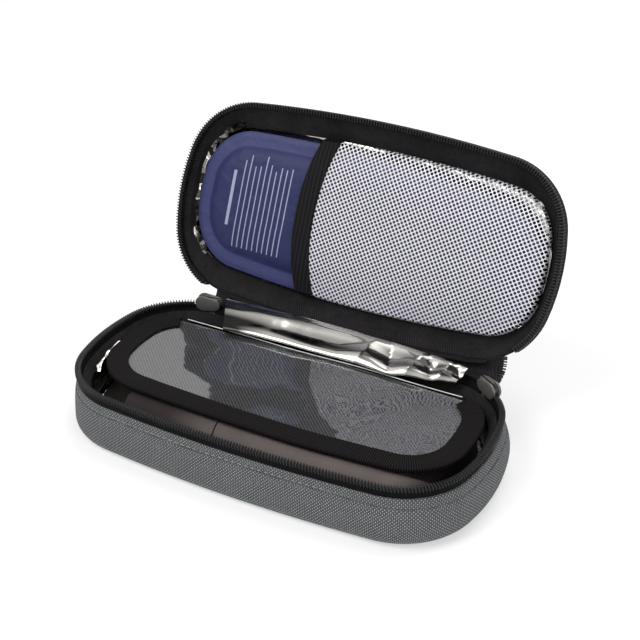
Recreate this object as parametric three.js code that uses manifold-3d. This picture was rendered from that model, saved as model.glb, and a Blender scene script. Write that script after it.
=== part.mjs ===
import * as THREE from 'three';
import { mergeGeometries, mergeVertices } from 'three/addons/utils/BufferGeometryUtils.js';
import Module from 'manifold-3d';

// A soft insulated case in two zipped halves, shown with the lid open.
// Millimetres, X along the case, Y towards the hinge, Z up, origin under the middle of the base.

// Driving sizes of the case outline, taken on the zip line
const caseLength = 200;
const caseWidth = 103;
const cornerRadius = 35;
const sideRadius = 700;
const endRadius = 100;

// Driving heights of the two halves
const zipHeight = 29.5;
const baseCoverHeight = 25.2;
const lidDepth = 18.1;
const openAngle = THREE.MathUtils.degToRad(114);

// Hinge axis, just outside the rear wall and level with the zip
const hingeClearance = 0.4;
const hingeY = caseWidth / 2 + hingeClearance;

// Sheet goods
const coverThickness = 1.2;
const foamThickness = 4;
const foilThickness = 0.5;
const facingThickness = 0.6;
const tapeThickness = 0.6;
const seatGap = 0.3;
const overrun = 0.1;
const chordError = 0.15;
const filletSteps = 2;
const fullestCornerShare = 0.85;

// Base shell
const bottomFillet = 5;
const baseFlare = 2;
const facingBottom = 21;
const facingLip = 3.3;
const facingFoot = 6.4;

// Zip
const toothPitch = 3.4;
const toothRoot = 1.5;
const toothTip = 1;
const toothHeight = 1.5;
const toothCord = 0.7;
const chainThickness = 1.8;
const baseTapeTop = zipHeight - 1.9;

// Lid opening, mesh pocket and gel pack
const facingEndWidth = 7;
const facingSideWidth = 12;
const openingLength = caseLength - 2 * facingEndWidth;
const openingWidth = caseWidth - 2 * facingSideWidth;
const openingCorner = 25;
const openingDepth = 10.7;
const lidTapeDepth = 6.5;
const lidEdgeDepth = 4.6;
const lidFloorDepth = 12.3;
const domeInset = 17.5;
const packEndGap = 2;
const packSideGap = 4.5;
const packLength = openingLength - 2 * packEndGap;
const packWidth = openingWidth - 2 * packSideGap;
const packCorner = 27;
const packEndRadius = 80;
const packX = -1.2;
const packY = 0.8;
const packThickness = 8.2;
const packWeld = 1.2;
const packWeldWidth = 6.5;
const packCrownCorner = 3;
const netThickness = 0.5;
const netPitch = 10;
const netStrand = 1.6;
const netBorder = 2.4;
const pocketMouth = 60.5;
const bandX = pocketMouth - openingLength / 2;
const bandWidth = 9.8;
const bandBow = 7;
const bandThickness = 0.9;

// Flap over the base compartment
const flapEndMargin = 9.5;
const flapFrontMargin = 18.5;
const flapRearMargin = 9.5;
const flapLength = caseLength - 2 * flapEndMargin;
const flapFront = flapFrontMargin - caseWidth / 2;
const flapWidth = caseWidth - flapFrontMargin - flapRearMargin;
const flapCorner = 28;
const flapRearTurn = THREE.MathUtils.degToRad(85.7);
const flapUnderside = 24.2;
const bindingEnd = THREE.MathUtils.degToRad(40);
const windowEnd = THREE.MathUtils.degToRad(43);
const bindingThickness = 0.6;
const bindingWidth = 9.5;
const bindingWrap = 0.3;
const layerGap = 0.2;
const panelThickness = 0.7;
const windowThickness = 0.3;

// Pen bed and its elastic loops
const boardThickness = 1.4;
const bedThickness = 0.6;
const bedInset = 10;
const loopCount = 4;
const loopMargin = 10.5;
const loopPitch = (caseWidth - 2 * loopMargin) / loopCount;
const loopGap = 2.9;
const loopBore = loopPitch - loopGap;
const loopTop = 23.8;
const elasticThickness = 0.9;
const leftStrapMargin = 36;
const leftStrapLength = 46.4;
const strapGap = 1.2;
const rightStrapMargin = 29;
const leftStrapStart = leftStrapMargin - caseLength / 2;
const leftStrapEnd = leftStrapStart + leftStrapLength;
const rightStrapStart = leftStrapEnd + strapGap;
const rightStrapEnd = caseLength / 2 - rightStrapMargin;

// Zip sliders and their pulls
const leftSliderAngle = THREE.MathUtils.degToRad(100);
const rightSliderAngle = THREE.MathUtils.degToRad(57);
const sliderLength = 13;
const sliderWidth = 8;
const sliderTail = 6.4;
const sliderGap = 2.4;
const sliderPlate = 1.1;
const sliderEndGap = 0.8;
const bailLength = 6.8;
const bailBar = 0.6;
const bailWidth = 1;
const ringRadius = 1.15;
const ringWire = 0.35;
const pullLength = 19;
const pullWidth = 5.2;
const pullThickness = 1.2;

// Foil lining that crosses the hinge
const liningLeftGap = 1;
const liningRightGap = 8;
const liningThickness = 0.6;
const liningReach = 10;

// Colours and finishes
const finishes = {
  greyCloth: { color: 0x7c8182, roughness: 0.9, metalness: 0 },
  blackCloth: { color: 0x17171a, roughness: 0.85, metalness: 0 },
  foam: { color: 0xb9bcbd, roughness: 0.95, metalness: 0 },
  foil: { color: 0xc9c9c6, roughness: 0.22, metalness: 1 },
  zipPlastic: { color: 0x101012, roughness: 0.35, metalness: 0 },
  sliderMetal: { color: 0x6f6c69, roughness: 0.38, metalness: 0.8 },
  velour: { color: 0x736a68, roughness: 0.95, metalness: 0 },
  twill: { color: 0x8a8b8a, roughness: 0.85, metalness: 0 },
  clearFilm: { color: 0xe8eef0, roughness: 0.06, metalness: 0, transparent: true, opacity: 0.3 },
  gelFilm: { color: 0x343869, roughness: 0.35, metalness: 0 },
  whiteNet: { color: 0xe6e6ee, roughness: 0.8, metalness: 0 },
};

const wasm = await Module();
wasm.setup();

// An outline of three tangent arcs per quarter. Every point is known by the direction it faces,
// so an inner or outer line at any distance has the same stations.
class Outline {
  constructor(length, width, cornerWanted, side, end, centreY = 0) {
    const corner = Math.min(cornerWanted, (fullestCornerShare * width) / 2);
    this.centreY = centreY;
    this.radii = { side, corner, end };
    const sideCentre = new THREE.Vector2(0, width / 2 - side);
    const endCentre = new THREE.Vector2(length / 2 - end, 0);
    const apart = sideCentre.distanceTo(endCentre);
    const sideReach = side - corner;
    const endReach = end - corner;
    const along = (sideReach ** 2 - endReach ** 2 + apart ** 2) / (2 * apart);
    const across = Math.sqrt(sideReach ** 2 - along ** 2);
    const axis = endCentre.clone().sub(sideCentre).normalize();
    const cornerCentre = sideCentre.clone().addScaledVector(axis, along);
    cornerCentre.addScaledVector(new THREE.Vector2(axis.y, -axis.x), across);
    this.centres = { side: sideCentre, corner: cornerCentre, end: endCentre };
    this.sideTurn = cornerCentre.clone().sub(sideCentre).angle();
    this.endTurn = cornerCentre.clone().sub(endCentre).angle();
  }

  // Directions at which one arc passes into the next, all the way round
  breaks() {
    const quarter = [this.endTurn, this.sideTurn];
    const half = [...quarter, Math.PI - this.sideTurn, Math.PI - this.endTurn];
    return [...half, ...half.map((angle) => angle + Math.PI)];
  }

  arcAt(angle) {
    const c = Math.cos(angle);
    const s = Math.sin(angle);
    const turn = Math.atan2(Math.abs(s), Math.abs(c));
    const name = turn < this.endTurn ? 'end' : turn < this.sideTurn ? 'corner' : 'side';
    const centre = this.centres[name];
    return { x: Math.sign(c) * centre.x, y: Math.sign(s) * centre.y, radius: this.radii[name] };
  }

  point(angle, offset = 0) {
    const arc = this.arcAt(angle);
    const reach = arc.radius + offset;
    return new THREE.Vector2(
      arc.x + reach * Math.cos(angle),
      arc.y + reach * Math.sin(angle) + this.centreY,
    );
  }

  // Signed distance outside the outline, negative inside
  distance(x, y) {
    const p = new THREE.Vector2(Math.abs(x), Math.abs(y - this.centreY));
    const ranges = { end: [0, this.endTurn], corner: [this.endTurn, this.sideTurn], side: [this.sideTurn, Infinity] };
    let nearest = -Infinity;
    for (const name of Object.keys(ranges)) {
      const away = p.clone().sub(this.centres[name]);
      const turn = Math.atan2(away.y, away.x);
      if (turn >= ranges[name][0] && turn <= ranges[name][1]) {
        nearest = Math.max(nearest, away.length() - this.radii[name]);
      }
    }
    return nearest;
  }
}

// Directions right round the outlines that hold every break between arcs, with steps between
// fine enough that no chord leaves its arc by more than the chord error
function wholeTurn(...outlines) {
  const full = 2 * Math.PI;
  const marks = [0, ...outlines.flatMap((outline) => outline.breaks()), full].sort((p, q) => p - q);
  const list = [0];
  for (const mark of marks) {
    const start = list[list.length - 1];
    const middle = (start + mark) / 2;
    const radius = Math.max(...outlines.map((outline) => outline.arcAt(middle).radius));
    const step = 2 * Math.acos(1 - chordError / radius);
    const count = Math.ceil((mark - start) / step - 1 / 4);
    for (let i = 1; i <= count; i += 1) {
      list.push(start + ((mark - start) * i) / count);
    }
  }
  return list.slice(0, -1);
}

// Directions from one to another, at the same stations as the whole turn
function between(outline, from, to) {
  const full = 2 * Math.PI;
  const list = wholeTurn(outline);
  const margin = chordError / cornerRadius;
  return [
    from,
    ...[-full, 0, full]
      .flatMap((turns) => list.map((angle) => angle + turns))
      .filter((angle) => angle > from + margin && angle < to - margin),
    to,
  ];
}

const caseOutline = new Outline(caseLength, caseWidth, cornerRadius, sideRadius, endRadius);
const openingOutline = new Outline(openingLength, openingWidth, openingCorner, sideRadius, endRadius);
const packOutline = new Outline(packLength, packWidth, packCorner, sideRadius, packEndRadius);
const flapOutline = new Outline(
  flapLength, flapWidth, flapCorner, sideRadius, endRadius, flapFront + flapWidth / 2,
);

// Shorthand for one point of a section: which outline, how far outside it, and how high
function at(outline, offset, z) {
  return { outline, offset, z };
}

function geometryFrom(vertices, triangles) {
  const geometry = new THREE.BufferGeometry();
  geometry.setAttribute('position', new THREE.Float32BufferAttribute(vertices.flat(), 3));
  geometry.setIndex(triangles.flat());
  geometry.computeVertexNormals();
  return geometry;
}

function ringVertices(angles, place) {
  return angles.map((angle) => {
    const p = place.outline.point(angle, place.offset);
    return [p.x, p.y, place.z];
  });
}

// A shell round the outline. Its places run with the material on their left, and its first and
// last rings are closed by flat faces.
function bowl(angles, places) {
  const count = angles.length;
  const vertices = places.flatMap((place) => ringVertices(angles, place));
  const triangles = [];
  for (let j = 0; j + 1 < places.length; j += 1) {
    for (let i = 0; i < count; i += 1) {
      const next = (i + 1) % count;
      const [a, b] = [j * count + i, (j + 1) * count + i];
      const [c, d] = [(j + 1) * count + next, j * count + next];
      triangles.push([a, d, c], [a, c, b]);
    }
  }
  const ring = (j) => angles.map((angle) => places[j].outline.point(angle, places[j].offset));
  const last = places.length - 1;
  for (const [p, q, r] of THREE.ShapeUtils.triangulateShape(ring(0), [])) {
    triangles.push([r, q, p]);
  }
  for (const [p, q, r] of THREE.ShapeUtils.triangulateShape(ring(last), [])) {
    triangles.push([p + last * count, q + last * count, r + last * count]);
  }
  return geometryFrom(vertices, triangles);
}

// A closed section carried along part of the outline, or all the way round it
function sweep(angles, section, closed = false) {
  const size = section.length;
  const flat = section.map((place) => {
    const p = place.outline.point(angles[0], place.offset);
    const out = new THREE.Vector2(Math.cos(angles[0]), Math.sin(angles[0]));
    return new THREE.Vector2(p.dot(out), place.z);
  });
  const places = THREE.ShapeUtils.isClockWise(flat) ? [...section].reverse() : section;
  const contour = places === section ? flat : [...flat].reverse();
  const vertices = angles.flatMap((angle) => places.flatMap((place) => ringVertices([angle], place)));
  const triangles = [];
  const spans = closed ? angles.length : angles.length - 1;
  for (let i = 0; i < spans; i += 1) {
    const here = i * size;
    const there = ((i + 1) % angles.length) * size;
    for (let j = 0; j < size; j += 1) {
      const k = (j + 1) % size;
      triangles.push([here + j, there + j, there + k], [here + j, there + k, here + k]);
    }
  }
  if (!closed) {
    const end = (angles.length - 1) * size;
    for (const [p, q, r] of THREE.ShapeUtils.triangulateShape(contour, [])) {
      triangles.push([p, q, r], [end + r, end + q, end + p]);
    }
  }
  return geometryFrom(vertices, triangles);
}

// Profile points round a fillet, from one direction to another
function fillet(outline, offset, z, radius, from, to, steps) {
  return Array.from({ length: steps + 1 }, (_, i) => {
    const turn = THREE.MathUtils.degToRad(from + ((to - from) * i) / steps);
    return at(outline, offset + radius * Math.cos(turn), z + radius * Math.sin(turn));
  });
}

// Flat sheet between two heights, from a closed list of plan points
function sheet(points, low, high) {
  const shape = new THREE.Shape(points);
  const geometry = new THREE.ExtrudeGeometry(shape, { depth: high - low, bevelEnabled: false });
  return geometry.translate(0, 0, low);
}

// Flat strip between two edges that run side by side, with stations at their points
function ribbon(left, right, low, high) {
  const vertices = left.flatMap((p, i) => [
    [p.x, p.y, low], [right[i].x, right[i].y, low], [right[i].x, right[i].y, high], [p.x, p.y, high],
  ]);
  const corners = [0, 1, 2, 3];
  const triangles = left.slice(1).flatMap((_, i) => corners.flatMap((j) => {
    const k = (j + 1) % corners.length;
    const [here, there] = [i * corners.length, (i + 1) * corners.length];
    return [[here + j, here + k, there + k], [here + j, there + k, there + j]];
  }));
  const end = (left.length - 1) * corners.length;
  triangles.push([0, 2, 1], [0, 3, 2], [end, end + 1, end + 2], [end, end + 2, end + 3]);
  return geometryFrom(vertices, triangles);
}

// Section in Y and Z carried along X
function alongX(points, from, to) {
  const shape = new THREE.Shape(points);
  const geometry = new THREE.ExtrudeGeometry(shape, { depth: to - from, bevelEnabled: false });
  const axes = new THREE.Matrix4().makeBasis(
    new THREE.Vector3(0, 1, 0),
    new THREE.Vector3(0, 0, 1),
    new THREE.Vector3(1, 0, 0),
  );
  return geometry.applyMatrix4(axes).translate(from, 0, 0);
}

function solid(geometry) {
  const bare = geometry.index ? geometry.toNonIndexed() : geometry.clone();
  bare.deleteAttribute('normal');
  bare.deleteAttribute('uv');
  const merged = mergeVertices(bare);
  return new wasm.Manifold(new wasm.Mesh({
    numProp: 3,
    vertProperties: merged.attributes.position.array,
    triVerts: merged.index.array,
  }));
}

function fromSolid(body) {
  const mesh = body.getMesh();
  const geometry = new THREE.BufferGeometry();
  geometry.setAttribute('position', new THREE.BufferAttribute(mesh.vertProperties, 3));
  geometry.setIndex(new THREE.BufferAttribute(mesh.triVerts, 1));
  geometry.computeVertexNormals();
  return geometry;
}

function joined(geometries) {
  return fromSolid(geometries.map(solid).reduce((whole, next) => whole.add(next)));
}

function piece(name, geometry, finish) {
  const mesh = new THREE.Mesh(geometry, new THREE.MeshStandardMaterial(finishes[finish]));
  mesh.name = name;
  return mesh;
}

// Base shell: grey cover outside that flares towards its foot, foam core, foil lining inside
function baseShell() {
  const turn = wholeTurn(caseOutline);
  const place = (offset, z) => at(caseOutline, offset, z);
  const foot = baseFlare - bottomFillet;
  const cover = bowl(turn, [
    ...fillet(caseOutline, foot, bottomFillet, bottomFillet, -90, 0, filletSteps + 1),
    place(0, baseCoverHeight),
    place(-coverThickness, baseCoverHeight),
    ...fillet(caseOutline, foot, bottomFillet, bottomFillet - coverThickness, 0, -90, filletSteps),
  ]);
  const foamOut = coverThickness + seatGap;
  const foamIn = foamOut + foamThickness;
  const foamTop = facingBottom - seatGap;
  const flareLeft = (baseFlare * (baseCoverHeight - foamTop)) / (baseCoverHeight - bottomFillet);
  const foam = bowl(turn, [
    ...fillet(caseOutline, foot, bottomFillet, bottomFillet - foamOut, -90, 0, filletSteps),
    place(flareLeft - foamOut, foamTop),
    place(-foamIn, foamTop),
    ...fillet(caseOutline, -foamIn - foamThickness, foamIn + foamThickness, foamThickness, 0, -90, filletSteps),
  ]);
  const foilOut = foamIn + seatGap;
  const foilIn = foilOut + foilThickness;
  const foilRound = foamThickness - seatGap;
  const foil = bowl(turn, [
    ...fillet(caseOutline, -foilOut - foilRound, foilOut + foilRound, foilRound, -90, 0, filletSteps),
    place(-foilOut, foamTop),
    place(-foilIn, foamTop),
    ...fillet(caseOutline, -foilOut - foilRound, foilOut + foilRound, foilRound - foilThickness, 0, -90, filletSteps),
  ]);
  return [
    piece('base_cover', cover, 'greyCloth'),
    piece('base_foam', foam, 'foam'),
    piece('base_foil', foil, 'foil'),
  ];
}

// Height of the compartment floor inside the base, and how far in its walls are with clearance
const baseFloor = coverThickness + foamThickness + foilThickness + 2 * seatGap;
const compartmentInset = baseFloor + seatGap;

// Padded black facing that closes the top of the base wall from the inside
function baseFacing() {
  const back = coverThickness + 2 * seatGap + tapeThickness + seatGap;
  const section = [
    at(caseOutline, -back, facingBottom),
    at(caseOutline, -back, baseCoverHeight),
    at(caseOutline, -facingLip, baseCoverHeight),
    at(caseOutline, -facingFoot, facingBottom),
  ];
  return piece('base_facing', sweep(wholeTurn(caseOutline), section, true), 'blackCloth');
}

// Direction reached from another by going a distance along the zip line
function walk(angle, distance) {
  const full = 2 * Math.PI;
  const marks = [-full, 0, full].flatMap((turns) => caseOutline.breaks().map((mark) => mark + turns));
  const ahead = distance > 0 ? marks : marks.reverse();
  const sense = Math.sign(distance);
  let here = angle;
  let left = Math.abs(distance);
  for (const mark of ahead.filter((value) => sense * (value - angle) > 0)) {
    const { radius } = caseOutline.arcAt((here + mark) / 2);
    const length = radius * Math.abs(mark - here);
    if (left <= length) {
      return here + (sense * left) / radius;
    }
    left -= length;
    here = mark;
  }
  return here;
}

// Length of the zip line between two directions
function lengthBetween(from, to) {
  const stations = between(caseOutline, from, to);
  return stations.slice(1).reduce((sum, angle, i) => {
    const { radius } = caseOutline.arcAt((angle + stations[i]) / 2);
    return sum + radius * (angle - stations[i]);
  }, 0);
}

const sliderReach = sliderLength / 2 + sliderEndGap;
const zipStart = walk(leftSliderAngle, sliderReach);
const zipEnd = walk(rightSliderAngle + 2 * Math.PI, -sliderReach);
const hingeStart = walk(rightSliderAngle, sliderReach);
const hingeEnd = walk(leftSliderAngle, -sliderReach);

// Section of the base tape, tucked behind the cover and leaning out to the zip line
function baseTapeSection(top) {
  const tuck = coverThickness + seatGap;
  const half = tapeThickness / 2;
  return [
    at(caseOutline, -tuck, facingBottom),
    at(caseOutline, -tuck, baseCoverHeight),
    at(caseOutline, half, baseTapeTop),
    ...(top > baseTapeTop ? [at(caseOutline, half, top), at(caseOutline, -half, top)] : []),
    at(caseOutline, -half, baseTapeTop),
    at(caseOutline, -tuck - tapeThickness, baseCoverHeight),
    at(caseOutline, -tuck - tapeThickness, facingBottom),
  ];
}

function lidTapeSection(low) {
  const half = tapeThickness / 2;
  return [
    at(caseOutline, half, zipHeight + low),
    at(caseOutline, 2 * half, zipHeight + lidTapeDepth),
    at(caseOutline, 0, zipHeight + lidTapeDepth),
    at(caseOutline, -half, zipHeight + low),
  ];
}

// One row of teeth on its cord. The teeth stand on the side that faces the other row, and the
// other row is shifted by half a pitch, so that each tooth meets a gap.
function teethRow(shift, cordFar, cordNear, tip) {
  const count = Math.floor((lengthBetween(zipStart, zipEnd) - toothPitch) / toothPitch);
  const half = chainThickness / 2;
  const vertices = [];
  const corners = (distance, z) => {
    const angle = walk(zipStart, distance);
    const [outer, inner] = [caseOutline.point(angle, half), caseOutline.point(angle, -half)];
    vertices.push([outer.x, outer.y, z], [inner.x, inner.y, z]);
    return vertices.length - 2;
  };
  const steps = [];
  for (let i = 0; i < count; i += 1) {
    const from = shift + i * toothPitch;
    const middle = from + toothPitch / 2;
    steps.push({
      far: corners(from, cordFar),
      near: corners(from, cordNear),
      rootA: corners(middle - toothRoot / 2, cordNear),
      tipA: corners(middle - toothTip / 2, tip),
      tipB: corners(middle + toothTip / 2, tip),
      rootB: corners(middle + toothRoot / 2, cordNear),
    });
  }
  const end = shift + count * toothPitch;
  steps.push({ far: corners(end, cordFar), near: corners(end, cordNear) });
  const triangles = [];
  const quad = (a, b, c, d) => triangles.push([a, b, c], [a, c, d]);
  const strip = (a, b) => quad(a, b, b + 1, a + 1);
  for (let i = 0; i < count; i += 1) {
    const tooth = steps[i];
    const next = steps[i + 1];
    const top = [tooth.near, tooth.rootA, tooth.tipA, tooth.tipB, tooth.rootB, next.near];
    for (let k = 0; k + 1 < top.length; k += 1) {
      strip(top[k], top[k + 1]);
    }
    strip(next.far, tooth.far);
    for (const side of [0, 1]) {
      const [p, q] = side === 0 ? [tooth, next] : [next, tooth];
      const order = side === 0
        ? [p.near, p.rootA, p.rootB, q.near]
        : [p.near, q.rootB, q.rootA, q.near];
      const fan = [p.far, q.far, ...order.reverse()].map((index) => index + side);
      for (let k = 1; k + 1 < fan.length; k += 1) {
        triangles.push([fan[0], fan[k], fan[k + 1]]);
      }
      const face = side === 0
        ? [tooth.rootA, tooth.rootB, tooth.tipB, tooth.tipA]
        : [tooth.rootB, tooth.rootA, tooth.tipA, tooth.tipB];
      quad(...face.map((index) => index + side));
    }
  }
  const first = steps[0];
  const last = steps[count];
  quad(first.far, first.near, first.near + 1, first.far + 1);
  quad(last.near, last.far, last.far + 1, last.near + 1);
  if (tip < cordNear) {
    triangles.forEach((triangle) => triangle.reverse());
  }
  return geometryFrom(vertices, triangles);
}

function baseZip() {
  const angles = between(caseOutline, zipStart, zipEnd);
  const cordLow = baseTapeTop + seatGap;
  const teeth = teethRow(0, cordLow, cordLow + toothCord, cordLow + toothCord + toothHeight);
  const strip = between(caseOutline, hingeStart, hingeEnd);
  const stripTop = zipHeight - seatGap / 2;
  return [
    piece('base_tape', sweep(angles, baseTapeSection(baseTapeTop)), 'blackCloth'),
    piece('base_teeth', teeth, 'zipPlastic'),
    piece('base_hinge_strip', sweep(strip, baseTapeSection(stripTop)), 'blackCloth'),
  ];
}

function lidZip() {
  const angles = between(caseOutline, zipStart, zipEnd);
  const cordHigh = 2 * zipHeight - baseTapeTop - seatGap;
  const teeth = teethRow(toothPitch / 2, cordHigh, cordHigh - toothCord, cordHigh - toothCord - toothHeight);
  const strip = between(caseOutline, hingeStart, hingeEnd);
  return [
    piece('lid_tape', sweep(angles, lidTapeSection(zipHeight - baseTapeTop)), 'blackCloth'),
    piece('lid_teeth', teeth, 'zipPlastic'),
    piece('lid_hinge_strip', sweep(strip, lidTapeSection(seatGap / 2)), 'blackCloth'),
  ];
}

// Lid shell in its closed place, with a domed cover whose edge is tucked inside the tape
function lidShell() {
  const turn = wholeTurn(caseOutline, openingOutline);
  const depth = (value) => zipHeight + value;
  const edge = tapeThickness / 2 + seatGap / 2;
  const domeShares = [[0.03, 0.38], [0.17, 0.62], [0.34, 0.81], [0.62, 0.945], [1, 1]];
  const outer = domeShares.map(([inset, height]) => (
    at(caseOutline, -edge - inset * (domeInset - edge), depth(height * lidDepth))
  ));
  const inward = (places, amount) => places.map((place, i) => {
    const before = places[Math.max(0, i - 1)];
    const after = places[Math.min(places.length - 1, i + 1)];
    const run = new THREE.Vector2(after.offset - before.offset, after.z - before.z).normalize();
    const side = i === places.length - 1 ? new THREE.Vector2(0, -1) : new THREE.Vector2(-run.y, run.x);
    return at(place.outline, place.offset + side.x * amount, place.z + side.y * amount);
  });
  const start = at(caseOutline, -edge, depth(lidEdgeDepth));
  const skin = [start, ...outer];
  const coverInside = inward(skin, coverThickness);
  coverInside[0] = at(caseOutline, -edge - coverThickness, depth(lidEdgeDepth));
  const cover = bowl(turn, [...coverInside.reverse(), ...skin]);
  const foamOut = inward(skin, coverThickness + seatGap).slice(2);
  const foilBack = lidFloorDepth + foilThickness;
  const behindFacing = facingThickness + seatGap;
  const foam = bowl(turn, [
    at(openingOutline, -foamThickness / 2, depth(foilBack + seatGap)),
    at(openingOutline, 0, depth(foilBack - foilThickness)),
    at(openingOutline, 2 * seatGap, depth(openingDepth + behindFacing)),
    at(caseOutline, -edge - coverThickness - 3 * seatGap, depth(lidTapeDepth + seatGap)),
    ...foamOut,
  ]);
  const foilRim = openingDepth + facingThickness + seatGap;
  const foil = bowl(turn, [
    at(openingOutline, -foamThickness / 2, depth(lidFloorDepth)),
    at(openingOutline, -seatGap, depth(foilRim)),
    at(openingOutline, -seatGap, depth(foilRim + foilThickness)),
    at(openingOutline, -foamThickness / 2, depth(foilBack)),
  ]);
  const facingStart = edge + coverThickness + seatGap;
  const facing = sweep(turn, [
    at(caseOutline, -facingStart, depth(lidEdgeDepth)),
    at(openingOutline, 0, depth(openingDepth)),
    at(openingOutline, 0, depth(openingDepth + facingThickness)),
    at(caseOutline, -facingStart, depth(lidEdgeDepth + 2 * facingThickness)),
  ], true);
  return [
    piece('lid_cover', cover, 'greyCloth'),
    piece('lid_foam', foam, 'foam'),
    piece('lid_foil', foil, 'foil'),
    piece('lid_facing', facing, 'blackCloth'),
  ];
}

// Depth of the mesh pocket below the zip plane, by distance inside the lid opening
const pocketInsetShares = [0, 0.03, 0.19, 0.253, 0.38, 0.633, 1];
const pocketDepthShares = [1, 0.58, 0.42, 0.37, 0.29, 0.24, 0.24];

function pocketDepth(x, y) {
  const inset = Math.max(0, -openingOutline.distance(x, y)) / (openingWidth / 2);
  const edge = openingDepth - facingThickness;
  for (let i = 0; i + 1 < pocketInsetShares.length; i += 1) {
    const [a, b] = [pocketInsetShares[i], pocketInsetShares[i + 1]];
    if (inset <= b) {
      const share = (inset - a) / (b - a);
      return edge * THREE.MathUtils.lerp(pocketDepthShares[i], pocketDepthShares[i + 1], share);
    }
  }
  return edge * pocketDepthShares[pocketDepthShares.length - 1];
}

// Lays a flat sheet over the pocket's curved face, with its back on that face
function drapeOnPocket(geometry) {
  const position = geometry.attributes.position;
  for (let i = 0; i < position.count; i += 1) {
    const depth = pocketDepth(position.getX(i), position.getY(i));
    position.setZ(i, zipHeight + depth - position.getZ(i));
  }
  geometry.index.array.reverse();
  geometry.computeVertexNormals();
  return geometry;
}

// Edge of the elastic band at a place across the lid, bowed towards the pocket's mouth
function bandEdge(y, side) {
  const share = (2 * y) / openingWidth;
  return bandX + bandBow * share ** 2 + side * bandWidth;
}

function bandPoints(side, reach) {
  const steps = 14;
  return Array.from({ length: steps + 1 }, (_, i) => {
    const y = reach * ((2 * i) / steps - 1);
    return new THREE.Vector2(bandEdge(y, side), y);
  });
}

function meshPocket() {
  const reach = openingWidth / 2 - 2 * seatGap;
  const band = ribbon(bandPoints(1, reach), bandPoints(0, reach), 0, bandThickness);
  const corner = between(openingOutline, -Math.PI / 2, Math.PI / 2)
    .map((angle) => openingOutline.point(angle, -2 * seatGap))
    .filter((p) => p.x > bandEdge(p.y, 1) + netPitch / 2);
  const mouth = bandPoints(1, reach).reverse().map((p) => new THREE.Vector2(p.x + seatGap, p.y));
  const edge = [...corner, ...mouth];
  const reachX = netPitch / 2 - netStrand / Math.SQRT2;
  const holes = [];
  for (let row = -20; row <= 20; row += 1) {
    for (let column = -10; column <= 20; column += 1) {
      const x = (column + (row % 2 === 0 ? 0 : 1 / 2)) * netPitch;
      const y = (row * netPitch) / 2;
      const inside = -openingOutline.distance(x, y) > reachX + netBorder;
      if (inside && x - bandEdge(y, 1) > reachX + netBorder) {
        holes.push([
          new THREE.Vector2(x + reachX, y),
          new THREE.Vector2(x, y + reachX),
          new THREE.Vector2(x - reachX, y),
          new THREE.Vector2(x, y - reachX),
        ]);
      }
    }
  }
  const plate = solid(sheet(edge, 0, netThickness));
  const cutters = holes.map((hole) => sheet(hole, -overrun, netThickness + overrun));
  const net = fromSolid(plate.subtract(solid(mergeGeometries(cutters))));
  return [
    piece('mesh_net', drapeOnPocket(net), 'whiteNet'),
    piece('mesh_band', drapeOnPocket(band), 'blackCloth'),
  ];
}

// Gel pack with a welded rim and a pillow on both faces
function gelPack() {
  const rimMiddle = packThickness / 2;
  const crown = packThickness / 2 - packWeld / 2;
  const pillowShares = [[0, 0], [0.14, 0.55], [0.43, 0.87], [1, 1]];
  const pillowRun = packOutline.radii.corner - packWeldWidth - packCrownCorner;
  const face = pillowShares.map(([inset, height]) => [
    -packWeldWidth - inset * pillowRun,
    packWeld / 2 + height * crown,
  ]);
  const geometry = bowl(wholeTurn(packOutline), [
    ...[...face].reverse().map(([offset, z]) => at(packOutline, offset, -z)),
    at(packOutline, 0, -packWeld / 2),
    at(packOutline, 0, packWeld / 2),
    ...face.map(([offset, z]) => at(packOutline, offset, z)),
  ]);
  const pack = piece('gel_pack', geometry, 'gelFilm');
  pack.position.set(packX, packY, zipHeight + lidFloorDepth - seatGap - rimMiddle);
  return pack;
}

// Flap in three layers, held round three sides by a folded binding
function flap() {
  const low = flapUnderside;
  const panelLow = low + bindingThickness + layerGap;
  const windowLow = panelLow + panelThickness + layerGap;
  const top = windowLow + windowThickness + layerGap + bindingThickness;
  const panelEdge = between(flapOutline, Math.PI - flapRearTurn, 2 * Math.PI + flapRearTurn)
    .map((angle) => flapOutline.point(angle));
  const run = between(flapOutline, Math.PI - bindingEnd, 2 * Math.PI + bindingEnd);
  const windowEdge = between(flapOutline, Math.PI - windowEnd, 2 * Math.PI + windowEnd)
    .map((angle) => flapOutline.point(angle, -layerGap));
  const inside = bindingWrap;
  const outside = bindingWrap + bindingThickness;
  const section = [
    at(flapOutline, -bindingWidth, low),
    at(flapOutline, outside, low),
    at(flapOutline, outside, top),
    at(flapOutline, -bindingWidth, top),
    at(flapOutline, -bindingWidth, top - bindingThickness),
    at(flapOutline, inside, top - bindingThickness),
    at(flapOutline, inside, low + bindingThickness),
    at(flapOutline, -bindingWidth, low + bindingThickness),
  ];
  return [
    piece('flap_panel', sheet(panelEdge, panelLow, panelLow + panelThickness), 'twill'),
    piece('flap_window', sheet(windowEdge, windowLow, windowLow + windowThickness), 'clearFilm'),
    piece('flap_binding', sweep(run, section), 'blackCloth'),
  ];
}

// Fabric strip that ties the flap's rear edge to the rear wall
function flapHinge() {
  const low = baseCoverHeight + seatGap;
  const back = coverThickness + 2 * seatGap + tapeThickness + seatGap;
  const reach = between(caseOutline, hingeStart, hingeEnd)
    .map((angle) => caseOutline.point(angle, -back))
    .filter((p) => Math.abs(p.x) < flapLength / 2 - flapCorner - bindingWidth);
  const front = flapOutline.point(flapRearTurn).y + 2 * seatGap;
  const points = [
    ...reach,
    new THREE.Vector2(reach[reach.length - 1].x, front),
    new THREE.Vector2(reach[0].x, front),
  ];
  return piece('flap_hinge_strip', sheet(points, low, low + tapeThickness), 'twill');
}

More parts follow.
